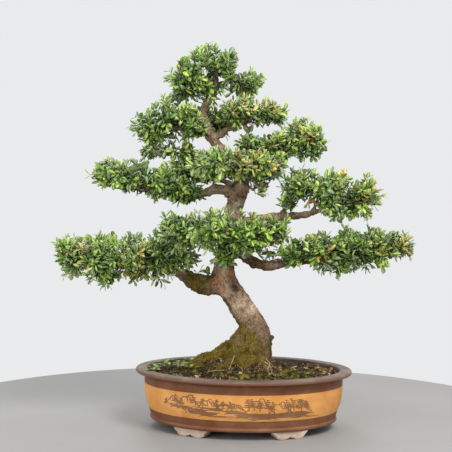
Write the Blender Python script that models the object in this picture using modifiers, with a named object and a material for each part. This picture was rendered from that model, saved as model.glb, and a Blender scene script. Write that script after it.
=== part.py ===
"""Bonsai tree in an oval clay pot.

Metres, +Z up. The pot's long side runs along X and its front faces -Y. The origin is on the
ground, under the middle of the model's bounding box.

Every height on the tree counts from the soil at the foot of the trunk, so the tree stands on
the soil whatever the pot's size. Each branch is laid out from the point on the trunk's middle
line where it starts, and so is the pad of leaves that it carries.
"""

import math

import bmesh
import bpy
from mathutils import Vector

MM = 0.001

# Clearance between pieces that touch, and the growth of a copy that cuts a piece clear
GAP = 0.0003
CUT_GAP = 0.0004
WELD = 0.00001

# Pot: an oval bowl of turned section, from the ground up
RIM_LENGTH = 0.355
RIM_DEPTH = 0.276
FOOT_HEIGHT = 0.013
MOULDING_HEIGHT = 0.007
LOWER_HEIGHT = 0.011
BAND_HEIGHT = 0.0405
NECK_HEIGHT = 0.017
LIP_THICKNESS = 0.0065
LIP_OVERHANG = 0.0145
LIP_ROUNDING = 0.0028
COVE = 0.006
BAND_DRAW_IN = 0.008
BAND_CURVE_POWER = 2.4
LOWER_DRAW_IN = 0.005
WALL = 0.0055
FLOOR = 0.007
POT_SIDES = 40
BAND_STEPS = 4
INNER_RUNS = 5
# Further in than this from the rim, the oval's rings are shrunk copies and not offsets
CORE_INSET = 0.045

# Drainage
DRAIN_RADIUS = 0.012
DRAIN_SPACING = 0.140
SCREEN_MARGIN = 0.003
SCREEN_CELLS = 3
SCREEN_BAR = 0.0012
CLIP_WIRE = 0.0012
CLIP_FOOT = 0.011
GRIT_DEPTH = 0.010

# Feet: a flat clay slab with two rounded lobes below, square to the oval's edge
FOOT_X = 0.079
FOOT_TOP_WIDTH = 0.062
FOOT_LOBE_WIDTH = 0.020
FOOT_LOBE_MIDDLE = 0.0135
FOOT_NOTCH = 0.0035
FOOT_DEPTH = 0.024
FOOT_SETBACK = 0.002
FOOT_ROUNDING = 0.0012

# Soil
SOIL_BELOW_RIM = 0.011
MOUND = 0.016
MOUND_POWER = 0.8

# Tree: the foot of the trunk on the soil, and how the trunk thins
TREE_X = 0.013
TREE_Y = -0.008
TRUNK_RADIUS = 0.0242
TRUNK_TIP_RADIUS = 0.002
FLARE = 0.0125
FLARE_HEIGHT = 0.065
ROOT_DEPTH = 0.026
TAPER_POWER = 1.6
LIMB_ROUNDNESS = 2
LIMB_STEPS = 2
TRUNK_ROUNDNESS = 3
# Radii of a fork at its start and tip, as shares of its branch's tip radius
FORK_START = 1.6
FORK_TIP = 0.7
# Share of its faces that a pad keeps
PAD_DETAIL = 0.6
# Dead stub on the trunk's right side: heights of its foot and tip, and its radii
STUB_FOOT_Z = 0.030
STUB_TIP_Z = 0.050
STUB_RADII = (0.004, 0.003, 0.0015)

# Middle line of the trunk, in millimetres: X and Y from the pot's middle, height above the soil
TRUNK_ROUTE = (
    (13, -8, 0),
    (12.5, -8, 40),
    (16, -7, 57),
    (13, -5, 71),
    (0, -2, 90),
    (-13, 1, 110),
    (-27, 3, 132),
    (-34, 4, 155),
    (-31, 4, 185),
    (-24, 2, 225),
    (-17, 0, 262),
    (-7, -1, 287),
    (-5, -1, 302),
    (-18, 0, 328),
    (-42, 1, 355),
    (-57, 2, 378),
    (-69, 2, 406),
    (-72, 2, 421),
    (-61, 1, 435),
    (-52, 0, 450),
    (-50, 0, 478),
    (-48, 0, 503),
)

# Surface roots: direction in degrees, reach, radius and the height on the flare where each starts
ROOTS = (
    (180, 0.112, 0.0175, 0.045),
    (222, 0.080, 0.0160, 0.030),
    (262, 0.064, 0.0160, 0.030),
    (305, 0.060, 0.0150, 0.026),
    (352, 0.050, 0.0140, 0.024),
    (48, 0.060, 0.0150, 0.026),
    (95, 0.070, 0.0160, 0.030),
    (138, 0.080, 0.0160, 0.030),
)

# Branches: name, start height on the trunk, radius at the start and the tip, and the route.
# The first route is the branch itself and the others are its forks. Millimetres from its start.
BRANCHES = (
    ("lower_left", 132, 17.5, 3, (
        ((-23, 0, -1), (-50, -1, 3), (-73, -2, 15), (-93, -3, 24), (-140, -5, 28), (-185, -6, 33),
         (-232, -5, 44)),
    )),
    ("lower_right", 190, 11.5, 3, (
        ((28, -2, -7), (48, -3, -21), (74, -4, -26), (108, -5, -19), (165, -6, -17),
         (225, -6, -9), (268, -4, -2)),
    )),
    ("mid_left", 276, 10.5, 2.5, (
        ((-18, 0, 12), (-38, 0, 14), (-56, -1, 7), (-78, -2, 4), (-128, -4, 8), (-188, 0, 24),
         (-224, 0, 36)),
    )),
    ("mid_right", 232, 9.5, 2.5, (
        ((33, 2, 6), (61, 2, 10), (85, 2, 14), (113, 0, 15), (138, -2, 21), (173, -4, 34),
         (218, -2, 46)),
        ((82, 1, 13), (88, 0, 26), (93, -2, 40)),
        ((132, -2, 19), (140, -4, 36), (147, -6, 55)),
    )),
    ("lower_front", 200, 7.5, 2.5, (
        ((-5, -43, 8), (-2, -83, 14), (6, -115, 18)),
        ((-4, -40, 7), (-42, -71, 14), (-84, -73, 20)),
        ((-3, -63, 11), (38, -78, 16), (78, -65, 21)),
    )),
    ("mid_front", 306, 6, 2, (
        ((-8, -37, 8), (-11, -71, 16), (-5, -91, 20)),
        ((-7, -30, 6), (-44, -55, 18), (-74, -45, 26)),
        ((-9, -45, 10), (22, -59, 16), (49, -44, 22)),
    )),
    ("lower_back", 212, 7, 2.5, (
        ((2, 45, 7), (11, 87, 12), (15, 108, 14)),
        ((2, 40, 6), (-40, 64, 10), (-66, 72, 12)),
        ((3, 52, 8), (34, 70, 11), (60, 76, 12)),
    )),
    ("mid_back_left", 291, 6, 2, (
        ((-34, 13, 15), (-74, 23, 20), (-112, 29, 30)),
    )),
    ("mid_back", 318, 5.5, 2, (
        ((11, 38, 4), (19, 76, 10), (22, 94, 13)),
        ((9, 30, 3), (-16, 52, 9), (-40, 66, 13)),
    )),
    ("upper_mid_right", 342, 6, 2, (
        ((30, 7, 8), (75, 8, 18), (125, 4, 32), (155, 1, 39)),
    )),
    ("upper_left_low", 349, 4.5, 1.5, (
        ((-33, -1, -2), (-63, -1, 2), (-93, -1, -3), (-123, -1, 1)),
    )),
    ("upper_right", 374, 6.5, 2, (
        ((24, -2, 14), (54, -4, 29), (79, -6, 37), (106, -5, 45)),
    )),
    ("upper_left", 385, 6, 2, (
        ((-30, -4, 2), (-70, -6, 9), (-108, -4, 17)),
    )),
    ("upper_back", 396, 5, 2, (
        ((-1, 36, 8), (3, 64, 13)),
    )),
)

# Pads of leaves: name, start height on the trunk, and lobes. A lobe is its middle, in millimetres
# from the start of the branch, and its half sizes along X, Y and Z.
PADS = (
    ("lower_left", 132, (
        (-256, -3, 48, 38, 45, 30), (-205, -11, 43, 45, 62, 38), (-153, -8, 44, 48, 68, 38),
        (-108, -9, 51, 38, 55, 38), (-205, -25, 14, 17, 21, 21), (-256, -11, 25, 19, 24, 16),
        (-116, -18, 19, 17, 20, 20), (-70, -11, 45, 22, 28, 17),
    )),
    ("lower_right", 190, (
        (115, -9, -5, 26, 38, 20), (155, -12, 4, 34, 52, 28), (210, -9, 6, 40, 60, 36),
        (252, -8, 9, 34, 52, 35), (282, -4, 8, 25, 36, 22), (185, -24, -20, 50, 34, 13),
    )),
    ("lower_front", 200, (
        (-70, -63, 22, 40, 45, 29), (-17, -81, 22, 46, 52, 32), (40, -75, 18, 46, 50, 31),
        (80, -55, 22, 24, 34, 22), (-4, -43, -16, 18, 22, 26), (22, -35, -8, 15, 18, 18),
    )),
    ("mid_left", 276, (
        (-216, 0, 40, 33, 42, 25), (-173, -4, 34, 42, 55, 28), (-123, -6, 22, 42, 52, 28),
        (-84, -4, 9, 28, 40, 22),
    )),
    ("mid_right", 232, (
        (115, -6, 66, 32, 46, 27), (163, -10, 58, 42, 58, 34), (211, -6, 48, 35, 48, 36),
        (178, -14, 25, 40, 30, 17), (95, -2, 38, 16, 22, 15),
    )),
    ("mid_front", 306, (
        (-33, -54, 22, 46, 46, 26), (21, -54, 19, 44, 44, 28), (54, -39, 22, 20, 30, 19),
        (34, -31, -12, 18, 21, 17),
    )),
    ("upper_mid_right", 342, (
        (130, -4, 30, 40, 42, 32), (86, -4, 20, 33, 40, 26), (38, 6, 24, 34, 28, 14),
    )),
    ("upper_left", 385, (
        (-90, -6, 7, 37, 45, 33), (-58, -8, 23, 42, 48, 32), (-27, -6, 9, 32, 40, 25),
    )),
    ("upper_right", 374, (
        (49, -10, 41, 40, 44, 25), (92, -6, 42, 32, 36, 22),
    )),
    ("apex", 440, (
        (-27, -3, 35, 45, 46, 38), (3, -3, 54, 44, 42, 31), (53, -5, 26, 37, 38, 22),
        (30, -3, 66, 22, 24, 20), (-24, -1, 10, 44, 40, 16),
    )),
    ("lower_back", 212, (
        (6, 79, 10, 58, 48, 24), (-59, 63, 6, 40, 36, 20), (62, 69, 8, 36, 36, 20),
    )),
    ("mid_back_left", 291, (
        (-92, 25, 34, 34, 36, 21), (-60, 25, 28, 30, 32, 17),
    )),
    ("mid_back", 318, (
        (23, 74, 12, 46, 42, 22), (-31, 60, 14, 36, 34, 20),
    )),
    ("upper_left_low", 349, (
        (-123, -3, 6, 18, 22, 16), (-95, -3, 6, 22, 22, 11), (-66, -3, 7, 26, 28, 12),
    )),
    ("upper_back", 396, (
        (0, 54, 12, 46, 36, 26),
    )),
)

# Moss: X and Y as shares of the soil's half length and half depth, and half sizes in metres
MOSS = (
    ("moss_front", 0.13, -0.75, 0.040, 0.016, 0.006),
    ("moss_left", -0.50, -0.37, 0.028, 0.018, 0.006),
    ("moss_right", 0.52, -0.42, 0.030, 0.022, 0.006),
)

# Seedlings at the left end: middle of the clump from the soil's left end, and half sizes
SEEDLING_INSET = 0.044
SEEDLING_Y = -0.020
SEEDLING_SIZE = (0.030, 0.026, 0.015)

UNDERSIDE_Z = FOOT_HEIGHT
MOULDING_TOP_Z = UNDERSIDE_Z + MOULDING_HEIGHT
BAND_BOTTOM_Z = MOULDING_TOP_Z + LOWER_HEIGHT
BAND_TOP_Z = BAND_BOTTOM_Z + BAND_HEIGHT
LIP_BOTTOM_Z = BAND_TOP_Z + NECK_HEIGHT
RIM_Z = LIP_BOTTOM_Z + LIP_THICKNESS
FLOOR_Z = UNDERSIDE_Z + FLOOR
GRIT_TOP_Z = FLOOR_Z + GRIT_DEPTH
SOIL_EDGE_Z = RIM_Z - SOIL_BELOW_RIM
SCREEN_SIZE = 2 * (DRAIN_RADIUS + SCREEN_MARGIN)
HALF_LENGTH = RIM_LENGTH / 2
HALF_DEPTH = RIM_DEPTH / 2
BASE_INSET = LIP_OVERHANG + BAND_DRAW_IN + LOWER_DRAW_IN


# ---------------------------------------------------------------- scene and materials

def clear_scene():
    for obj in list(bpy.data.objects):
        bpy.data.objects.remove(obj)


def new_collection(name):
    collection = bpy.data.collections.new(name)
    bpy.context.scene.collection.children.link(collection)
    return collection


def material(name, colour, roughness, metallic=0.0):
    made = bpy.data.materials.new(name)
    made.use_nodes = True
    shader = made.node_tree.nodes["Principled BSDF"]
    shader.inputs["Base Color"].default_value = (*colour, 1.0)
    shader.inputs["Roughness"].default_value = roughness
    shader.inputs["Metallic"].default_value = metallic
    return made


def add_object(name, data, collection, look=None):
    obj = bpy.data.objects.new(name, data)
    collection.objects.link(obj)
    if look is not None:
        data.materials.clear()
        data.materials.append(look)
    return obj


# ---------------------------------------------------------------- modelling helpers

def weld(mesh):
    """Join doubled points and point every face outwards."""
    form = bmesh.new()
    form.from_mesh(mesh)
    bmesh.ops.remove_doubles(form, verts=form.verts, dist=WELD)
    bmesh.ops.recalc_face_normals(form, faces=form.faces)
    form.to_mesh(mesh)
    form.free()


def shape_of(obj):
    """The mesh that an object's modifiers or curve make."""
    bpy.context.view_layer.update()
    evaluated = obj.evaluated_get(bpy.context.evaluated_depsgraph_get())
    return bpy.data.meshes.new_from_object(evaluated)


def settle(obj):
    """Turn an object's modifiers into plain mesh."""
    mesh = shape_of(obj)
    obj.modifiers.clear()
    obj.data = mesh


def curve_to_mesh(curve_object):
    """Replace a curve object by a closed mesh object in the same place."""
    mesh = shape_of(curve_object)
    weld(mesh)
    name = curve_object.name
    collection = curve_object.users_collection[0]
    matrix = curve_object.matrix_world.copy()
    bpy.data.objects.remove(curve_object)
    obj = add_object(name, mesh, collection)
    obj.matrix_world = matrix
    return obj


def boolean(target, tool, operation, solver="EXACT"):
    modifier = target.modifiers.new(operation.title(), "BOOLEAN")
    modifier.operation = operation
    modifier.solver = solver
    modifier.object = tool
    settle(target)


def join(target, tool):
    boolean(target, tool, "UNION")
    bpy.data.objects.remove(tool)


def grown_copy(obj, growth):
    """A copy whose skin stands proud of the original's by the growth given."""
    copy = obj.copy()
    copy.data = obj.data.copy()
    tools.objects.link(copy)
    displace = copy.modifiers.new("Grow", "DISPLACE")
    displace.mid_level = 0.0
    displace.strength = growth
    settle(copy)
    return copy


def cut_clear(target, others, solver="EXACT"):
    """Cut a piece back so that it only just clears each of the other pieces.

    A grown copy pinches in a crease between two limbs, so the other piece's own shape cuts last.
    """
    for other in others:
        if boxes_meet(target, other):
            for growth in (CUT_GAP, 0.0):
                tool = grown_copy(other, growth)
                boolean(target, tool, "DIFFERENCE", solver)
                bpy.data.objects.remove(tool)


def world_box(obj):
    bpy.context.view_layer.update()
    corners = [obj.matrix_world @ Vector(corner) for corner in obj.bound_box]
    low = Vector(min(corner[i] for corner in corners) for i in range(3))
    high = Vector(max(corner[i] for corner in corners) for i in range(3))
    return low, high


def boxes_meet(first, second):
    low_a, high_a = world_box(first)
    low_b, high_b = world_box(second)
    return all(low_a[i] - CUT_GAP < high_b[i] and low_b[i] - CUT_GAP < high_a[i] for i in range(3))


def tapered_limb(name, points, radii, roundness=LIMB_ROUNDNESS):
    """A closed round limb along a smooth line through the points."""
    curve = bpy.data.curves.new(name, "CURVE")
    curve.dimensions = "3D"
    curve.bevel_depth = 1.0
    curve.bevel_resolution = roundness
    curve.resolution_u = LIMB_STEPS
    curve.use_fill_caps = True
    spline = curve.splines.new("BEZIER")
    spline.bezier_points.add(len(points) - 1)
    for knot, point, radius in zip(spline.bezier_points, points, radii):
        knot.co = point
        knot.radius = radius
        knot.handle_left_type = "AUTO"
        knot.handle_right_type = "AUTO"
    return curve_to_mesh(add_object(name, curve, tools))


def lump(name, middle, half_sizes):
    """A closed rounded lump, faceted."""
    form = bmesh.new()
    bmesh.ops.create_icosphere(form, subdivisions=2, radius=1.0)
    bmesh.ops.scale(form, vec=half_sizes, verts=form.verts)
    bmesh.ops.translate(form, vec=middle, verts=form.verts)
    mesh = bpy.data.meshes.new(name)
    form.to_mesh(mesh)
    form.free()
    return add_object(name, mesh, tools)


def to_parts(obj, name, look):
    """Move a finished piece from the tools to the model and give it its name and material."""
    tools.objects.unlink(obj)
    parts.objects.link(obj)
    obj.name = name
    obj.data.name = name
    obj.data.materials.clear()
    obj.data.materials.append(look)
    obj.parent = stand
    return obj


# ---------------------------------------------------------------- the oval

def oval_point(radius, angle):
    """Where a point of a round turned shape lies on the oval pot.

    A radius of half the rim's length is the rim itself, and anything smaller is inset from it.
    """
    inset = HALF_LENGTH - radius
    edge = Vector((HALF_LENGTH * math.cos(angle), HALF_DEPTH * math.sin(angle)))
    outwards = Vector((HALF_DEPTH * math.cos(angle), HALF_LENGTH * math.sin(angle))).normalized()
    if inset <= CORE_INSET:
        return edge - inset * outwards
    return (edge - CORE_INSET * outwards) * (radius / (HALF_LENGTH - CORE_INSET))


def turned_oval(name, profile, look):
    """Turn a profile of (inset from the rim, height) and press the round shape into the oval."""
    mesh = bpy.data.meshes.new(name)
    points = [(HALF_LENGTH - inset, 0.0, height) for inset, height in profile]
    mesh.from_pydata(points, [(i, i + 1) for i in range(len(points) - 1)], [])
    obj = add_object(name, mesh, tools)
    screw = obj.modifiers.new("Turn", "SCREW")
    screw.axis = "Z"
    screw.steps = POT_SIDES
    screw.render_steps = POT_SIDES
    screw.use_merge_vertices = True
    screw.merge_threshold = WELD
    settle(obj)
    weld(obj.data)
    for vertex in obj.data.vertices:
        radius = math.hypot(vertex.co.x, vertex.co.y)
        place = oval_point(radius, math.atan2(vertex.co.y, vertex.co.x))
        vertex.co.x = place.x
        vertex.co.y = place.y
    return to_parts(obj, name, look)


def arc(middle_inset, middle_z, radius, start, end, steps):
    """Points of an arc in the profile, its angles in degrees from outwards, turning up."""
    points = []
    for step in range(steps + 1):
        angle = math.radians(start + (end - start) * step / steps)
        points.append((middle_inset - radius * math.cos(angle), middle_z + radius * math.sin(angle)))
    return points


def wall_inset(z):
    """How far the pot's outer wall is inside the rim at a height."""
    if z >= BAND_TOP_Z:
        return LIP_OVERHANG
    if z >= BAND_BOTTOM_Z:
        down = (BAND_TOP_Z - z) / BAND_HEIGHT
        return LIP_OVERHANG + BAND_DRAW_IN * down ** BAND_CURVE_POWER
    down = (BAND_BOTTOM_Z - z) / (LOWER_HEIGHT + MOULDING_HEIGHT)
    return LIP_OVERHANG + BAND_DRAW_IN + LOWER_DRAW_IN * down


def inner_inset(z):
    """How far the inner wall is inside the rim, on the straight runs between its bends."""
    run = (RIM_Z - FLOOR_Z) / INNER_RUNS
    low_z = FLOOR_Z + run * min(math.floor((z - FLOOR_Z) / run + WELD), INNER_RUNS - 1)
    low_inset = wall_inset(low_z)
    high_inset = wall_inset(low_z + run)
    return WALL + low_inset + (high_inset - low_inset) * (z - low_z) / run


def inner_wall(low_z, high_z, clearance=0.0):
    """Profile points up the pot's inner wall, with each bend between two heights."""
    bends = [FLOOR_Z + (RIM_Z - FLOOR_Z) * step / INNER_RUNS for step in range(INNER_RUNS + 1)]
    heights = [low_z] + [z for z in bends if low_z + GAP < z < high_z - GAP] + [high_z]
    return [(inner_inset(z) + clearance, z) for z in heights]


# ---------------------------------------------------------------- pot

def make_pot():
    """The bowl: floor, inner wall, lip, neck, band, foot ring and drain holes."""
    inside = [(HALF_LENGTH, FLOOR_Z)] + inner_wall(FLOOR_Z, RIM_Z)
    top_z = RIM_Z - LIP_ROUNDING
    lip = arc(LIP_ROUNDING, top_z, LIP_ROUNDING, 90, 0, 2)
    lip += arc(LIP_ROUNDING, LIP_BOTTOM_Z + LIP_ROUNDING, LIP_ROUNDING, 0, -90, 2)
    cove = arc(LIP_OVERHANG - COVE, LIP_BOTTOM_Z - COVE, COVE, 90, 180, 2)
    band = []
    for step in range(BAND_STEPS + 1):
        z = BAND_TOP_Z - BAND_HEIGHT * step / BAND_STEPS
        band.append((wall_inset(z), z))
    bead = arc(BASE_INSET, UNDERSIDE_Z + MOULDING_HEIGHT / 2, MOULDING_HEIGHT / 2, 60, -90, 3)
    lower = [(wall_inset(MOULDING_TOP_Z), MOULDING_TOP_Z)]
    profile = inside + lip + cove + band + lower + bead + [(HALF_LENGTH, UNDERSIDE_Z)]
    pot = turned_oval("pot_body", profile, clay)
    for x in (-DRAIN_SPACING / 2, DRAIN_SPACING / 2):
        form = bmesh.new()
        bmesh.ops.create_cone(form, segments=20, cap_ends=True, radius1=DRAIN_RADIUS,
                              radius2=DRAIN_RADIUS, depth=3 * FLOOR)
        mesh = bpy.data.meshes.new("drain_cutter")
        form.to_mesh(mesh)
        form.free()
        cutter = add_object("drain_cutter", mesh, tools)
        cutter.location = (x, 0.0, UNDERSIDE_Z + FLOOR / 2)
        boolean(pot, cutter, "DIFFERENCE")
        bpy.data.objects.remove(cutter)
    return pot


def foot_outline():
    """Half of a foot's front outline, from the notch out and up, then mirrored."""
    lobe_in = FOOT_LOBE_MIDDLE - FOOT_LOBE_WIDTH / 2
    lobe_out = FOOT_LOBE_MIDDLE + FOOT_LOBE_WIDTH / 2
    flat = FOOT_LOBE_WIDTH / 4
    half = [
        (FOOT_LOBE_MIDDLE - flat, 0.0),
        (FOOT_LOBE_MIDDLE + flat, 0.0),
        (lobe_out - 0.001, FOOT_HEIGHT * 0.18),
        (lobe_out + 0.001, FOOT_HEIGHT * 0.45),
        (FOOT_TOP_WIDTH / 2 - 0.001, FOOT_HEIGHT * 0.85),
        (FOOT_TOP_WIDTH / 2, FOOT_HEIGHT - GAP),
    ]
    inner = [(lobe_in, FOOT_NOTCH * 0.55)]
    right = inner + half
    left = [(-x, z) for x, z in reversed(right)]
    return left + [(0.0, FOOT_NOTCH)] + right


def make_feet():
    """Four feet under the base's edge, each square to the oval where it stands."""
    half_length = HALF_LENGTH - BASE_INSET
    half_depth = HALF_DEPTH - BASE_INSET
    edge_angle = math.acos(FOOT_X / half_length)
    edge_y = half_depth * math.sin(edge_angle)
    outwards = Vector((half_depth * math.cos(edge_angle), half_length * math.sin(edge_angle)))
    outwards.normalize()
    turn = math.atan2(outwards.x, outwards.y)
    back_off = FOOT_SETBACK + FOOT_DEPTH / 2
    x = FOOT_X - back_off * outwards.x
    y = edge_y - back_off * outwards.y
    for name, side, front in (("foot_front_left", -1, -1), ("foot_front_right", 1, -1),
                              ("foot_back_left", -1, 1), ("foot_back_right", 1, 1)):
        curve = bpy.data.curves.new(name, "CURVE")
        curve.dimensions = "2D"
        curve.fill_mode = "BOTH"
        curve.extrude = FOOT_DEPTH / 2
        outline = foot_outline()
        spline = curve.splines.new("POLY")
        spline.use_cyclic_u = True
        spline.points.add(len(outline) - 1)
        for point, (across, up) in zip(spline.points, outline):
            point.co = (across, up, 0.0, 1.0)
        slab = add_object(name, curve, tools)
        slab.location = (side * x, front * y, 0.0)
        slab.rotation_euler = (math.radians(90), 0.0, -side * front * turn)
        foot = curve_to_mesh(slab)
        bevel = foot.modifiers.new("Round", "BEVEL")
        bevel.width = FOOT_ROUNDING
        bevel.segments = 1
        bevel.limit_method = "ANGLE"
        bevel.angle_limit = math.radians(50)
        settle(foot)
        to_parts(foot, name, foot_clay)


def make_grit():
    """Drainage grit on the floor, hollowed over each screen and its clip."""
    low_z = FLOOR_Z + GAP
    sides = inner_wall(low_z, GRIT_TOP_Z, GAP)
    profile = [(HALF_LENGTH, GRIT_TOP_Z)] + list(reversed(sides)) + [(HALF_LENGTH, low_z)]
    grit = turned_oval("grit_layer", profile, grit_look)
    height = SCREEN_BAR + 2 * CLIP_WIRE + 2 * GAP
    for x in (-DRAIN_SPACING / 2, DRAIN_SPACING / 2):
        form = bmesh.new()
        bmesh.ops.create_cube(form, size=1.0)
        size = SCREEN_SIZE + 4 * GAP
        bmesh.ops.scale(form, vec=(size, size, 2 * height), verts=form.verts)
        mesh = bpy.data.meshes.new("screen_pocket")
        form.to_mesh(mesh)
        form.free()
        pocket = add_object("screen_pocket", mesh, tools)
        pocket.location = (x, 0.0, low_z)
        boolean(grit, pocket, "DIFFERENCE")
        bpy.data.objects.remove(pocket)
    return grit


def screen_sheet(cell):
    """A flat square grid of bars round square holes."""
    form = bmesh.new()
    lines = 2 * SCREEN_CELLS + 1
    bmesh.ops.create_grid(form, x_segments=lines, y_segments=lines, size=lines / 2)
    for vertex in form.verts:
        for axis in (0, 1):
            line = round(vertex.co[axis] + lines / 2)
            bar, edge = divmod(line, 2)
            vertex.co[axis] = bar * cell + edge * SCREEN_BAR - SCREEN_SIZE / 2
    holes = []
    for face in form.faces:
        middle = face.calc_center_median()
        across = (middle.x + SCREEN_SIZE / 2) % cell
        along = (middle.y + SCREEN_SIZE / 2) % cell
        if across > SCREEN_BAR and along > SCREEN_BAR:
            holes.append(face)
    bmesh.ops.delete(form, geom=holes, context="FACES")
    mesh = bpy.data.meshes.new("screen")
    form.to_mesh(mesh)
    form.free()
    return mesh


def make_drain_cover(side_name, x):
    """A square of mesh over a drain hole, held by a bent wire whose ends turn out below."""
    cell = (SCREEN_SIZE - SCREEN_BAR) / SCREEN_CELLS
    screen = add_object("screen", screen_sheet(cell), tools)
    screen.location = (x, 0.0, FLOOR_Z + GAP)
    solidify = screen.modifiers.new("Thickness", "SOLIDIFY")
    solidify.thickness = SCREEN_BAR
    solidify.offset = 1.0
    settle(screen)
    to_parts(screen, "drain_screen_" + side_name, screen_plastic)

    over_z = FLOOR_Z + GAP + SCREEN_BAR + 2 * GAP + CLIP_WIRE / 2
    under_z = UNDERSIDE_Z - GAP - CLIP_WIRE / 2
    route = ((-cell - CLIP_FOOT, under_z), (-cell, under_z), (-cell, over_z),
             (cell, over_z), (cell, under_z), (cell + CLIP_FOOT, under_z))
    curve = bpy.data.curves.new("clip", "CURVE")
    curve.dimensions = "3D"
    curve.bevel_depth = CLIP_WIRE / 2
    curve.bevel_resolution = 1
    curve.use_fill_caps = True
    spline = curve.splines.new("POLY")
    spline.points.add(len(route) - 1)
    for point, (across, z) in zip(spline.points, route):
        point.co = (across, 0.0, z, 1.0)
    wire = add_object("clip", curve, tools)
    wire.location = (x, 0.0, 0.0)
    to_parts(curve_to_mesh(wire), "screen_clip_" + side_name, wire_metal)


# ---------------------------------------------------------------- soil and what lies on it

def soil_height(x, y):
    """Height of the soil's mound, flat at the wall and highest in the middle."""
    reach = math.hypot(x / HALF_LENGTH, y / HALF_DEPTH)
    return SOIL_EDGE_Z + MOUND * max(0.0, 1.0 - reach) ** MOUND_POWER


def make_soil():
    """The root ball's soil, from the grit up, mounded to the trunk and cut clear of it."""
    low_z = GRIT_TOP_Z + GAP
    sides = inner_wall(low_z, SOIL_EDGE_Z, GAP)
    edge_inset = sides[-1][0]
    mound = []
    for share in (0.0, 0.25, 0.5, 0.75):
        radius = share * (HALF_LENGTH - edge_inset)
        mound.append((HALF_LENGTH - radius, soil_height(radius, 0.0)))
    profile = mound + list(reversed(sides)) + [(HALF_LENGTH, low_z)]
    return turned_oval("soil", profile, earth)


def make_ground_cover(soil, trunk):
    """Moss patches and the seedlings, each a low lump that rests on the soil."""
    half_length = HALF_LENGTH - LIP_OVERHANG - WALL
    half_depth = HALF_DEPTH - LIP_OVERHANG - WALL
    covers = []
    for name, share_x, share_y, *half_sizes in MOSS:
        covers.append((name, share_x * half_length, share_y * half_depth, *half_sizes, moss))
    seedling_x = SEEDLING_INSET - half_length
    covers.append(("seedling_clump", seedling_x, SEEDLING_Y, *SEEDLING_SIZE, young_leaf))
    below = [soil, trunk]
    for name, x, y, length, depth, height, look in covers:
        cover = lump(name, (0.0, 0.0, 0.0), (length, depth, height))
        cover.location = (x, y, soil_height(x, y))
        cut_clear(cover, below)
        below.append(to_parts(cover, name, look))


# ---------------------------------------------------------------- tree

def trunk_radius(height):
    """Radius of the trunk: a straight taper, with a flare at the foot."""
    top = TRUNK_ROUTE[-1][2] * MM
    taper = TRUNK_RADIUS + (TRUNK_TIP_RADIUS - TRUNK_RADIUS) * max(height, 0.0) / top
    share = min(max(height, 0.0) / FLARE_HEIGHT, 1.0)
    return taper + FLARE * (1.0 - share ** 3)


def trunk_middle(height):
    """Point on the trunk's middle line at a height above the soil, both in millimetres."""
    for low, high in zip(TRUNK_ROUTE, TRUNK_ROUTE[1:]):
        if low[2] <= height <= high[2]:
            share = (height - low[2]) / (high[2] - low[2])
            return Vector(low).lerp(Vector(high), share)
    return Vector(TRUNK_ROUTE[-1])


def place_on_trunk(height):
    """World place of a start on the trunk, for a height in millimetres."""
    foot = Vector(TRUNK_ROUTE[0])
    return collar + (trunk_middle(height) - foot) * MM


def make_trunk():
    """The trunk with its surface roots and a dead stub, grown as one piece."""
    foot = Vector(TRUNK_ROUTE[0])
    points = [(Vector(point) - foot) * MM for point in TRUNK_ROUTE]
    points.insert(0, Vector((0.0, 0.0, -ROOT_DEPTH)))
    radii = [trunk_radius(point.z) for point in points]
    trunk = tapered_limb("trunk", points, radii, TRUNK_ROUNDNESS)
    trunk.location = collar
    for degrees, reach, radius, start in ROOTS:
        direction = Vector((math.cos(math.radians(degrees)), math.sin(math.radians(degrees)), 0.0))
        up = Vector((0.0, 0.0, 1.0))
        route = [
            0.10 * reach * direction + start * up,
            0.42 * reach * direction + 0.40 * start * up,
            0.70 * reach * direction + 0.15 * start * up,
            reach * direction - 0.6 * radius * up,
        ]
        root = tapered_limb("root", route, [radius, 0.8 * radius, 0.6 * radius, 0.35 * radius])
        root.location = collar
        join(trunk, root)
    stub_foot = Vector((0.8 * TRUNK_RADIUS, 0.0, STUB_FOOT_Z))
    stub_tip = Vector((TRUNK_RADIUS + 0.9 * FLARE, -STUB_RADII[-1], STUB_TIP_Z))
    stub = tapered_limb("stub", [stub_foot, (stub_foot + stub_tip) / 2, stub_tip], STUB_RADII)
    stub.location = collar
    join(trunk, stub)
    return to_parts(trunk, "trunk", bark)


def limb_radii(count, start_radius, tip_radius):
    """Radii along a branch, thinning fast near the trunk and slowly towards the tip."""
    radii = []
    for step in range(count):
        left = 1.0 - step / (count - 1)
        radii.append((tip_radius + (start_radius - tip_radius) * left ** TAPER_POWER) * MM)
    return radii


def make_branches(trunk):
    """Every branch with its forks, cut to meet the trunk's bark."""
    made = []
    for name, height, start_radius, tip_radius, routes in BRANCHES:
        main = [Vector((0, 0, 0))] + [Vector(point) for point in routes[0]]
        radii = limb_radii(len(main), start_radius, tip_radius)
        branch = tapered_limb(name, [point * MM for point in main], radii)
        for fork_route in routes[1:]:
            points = [Vector(point) * MM for point in fork_route]
            radii = limb_radii(len(points), FORK_START * tip_radius, FORK_TIP * tip_radius)
            fork = tapered_limb("fork", points, radii)
            join(branch, fork)
        branch.location = place_on_trunk(height)
        cut_clear(branch, [trunk] + made)
        made.append(to_parts(branch, "branch_" + name, bark))
    return made


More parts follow.
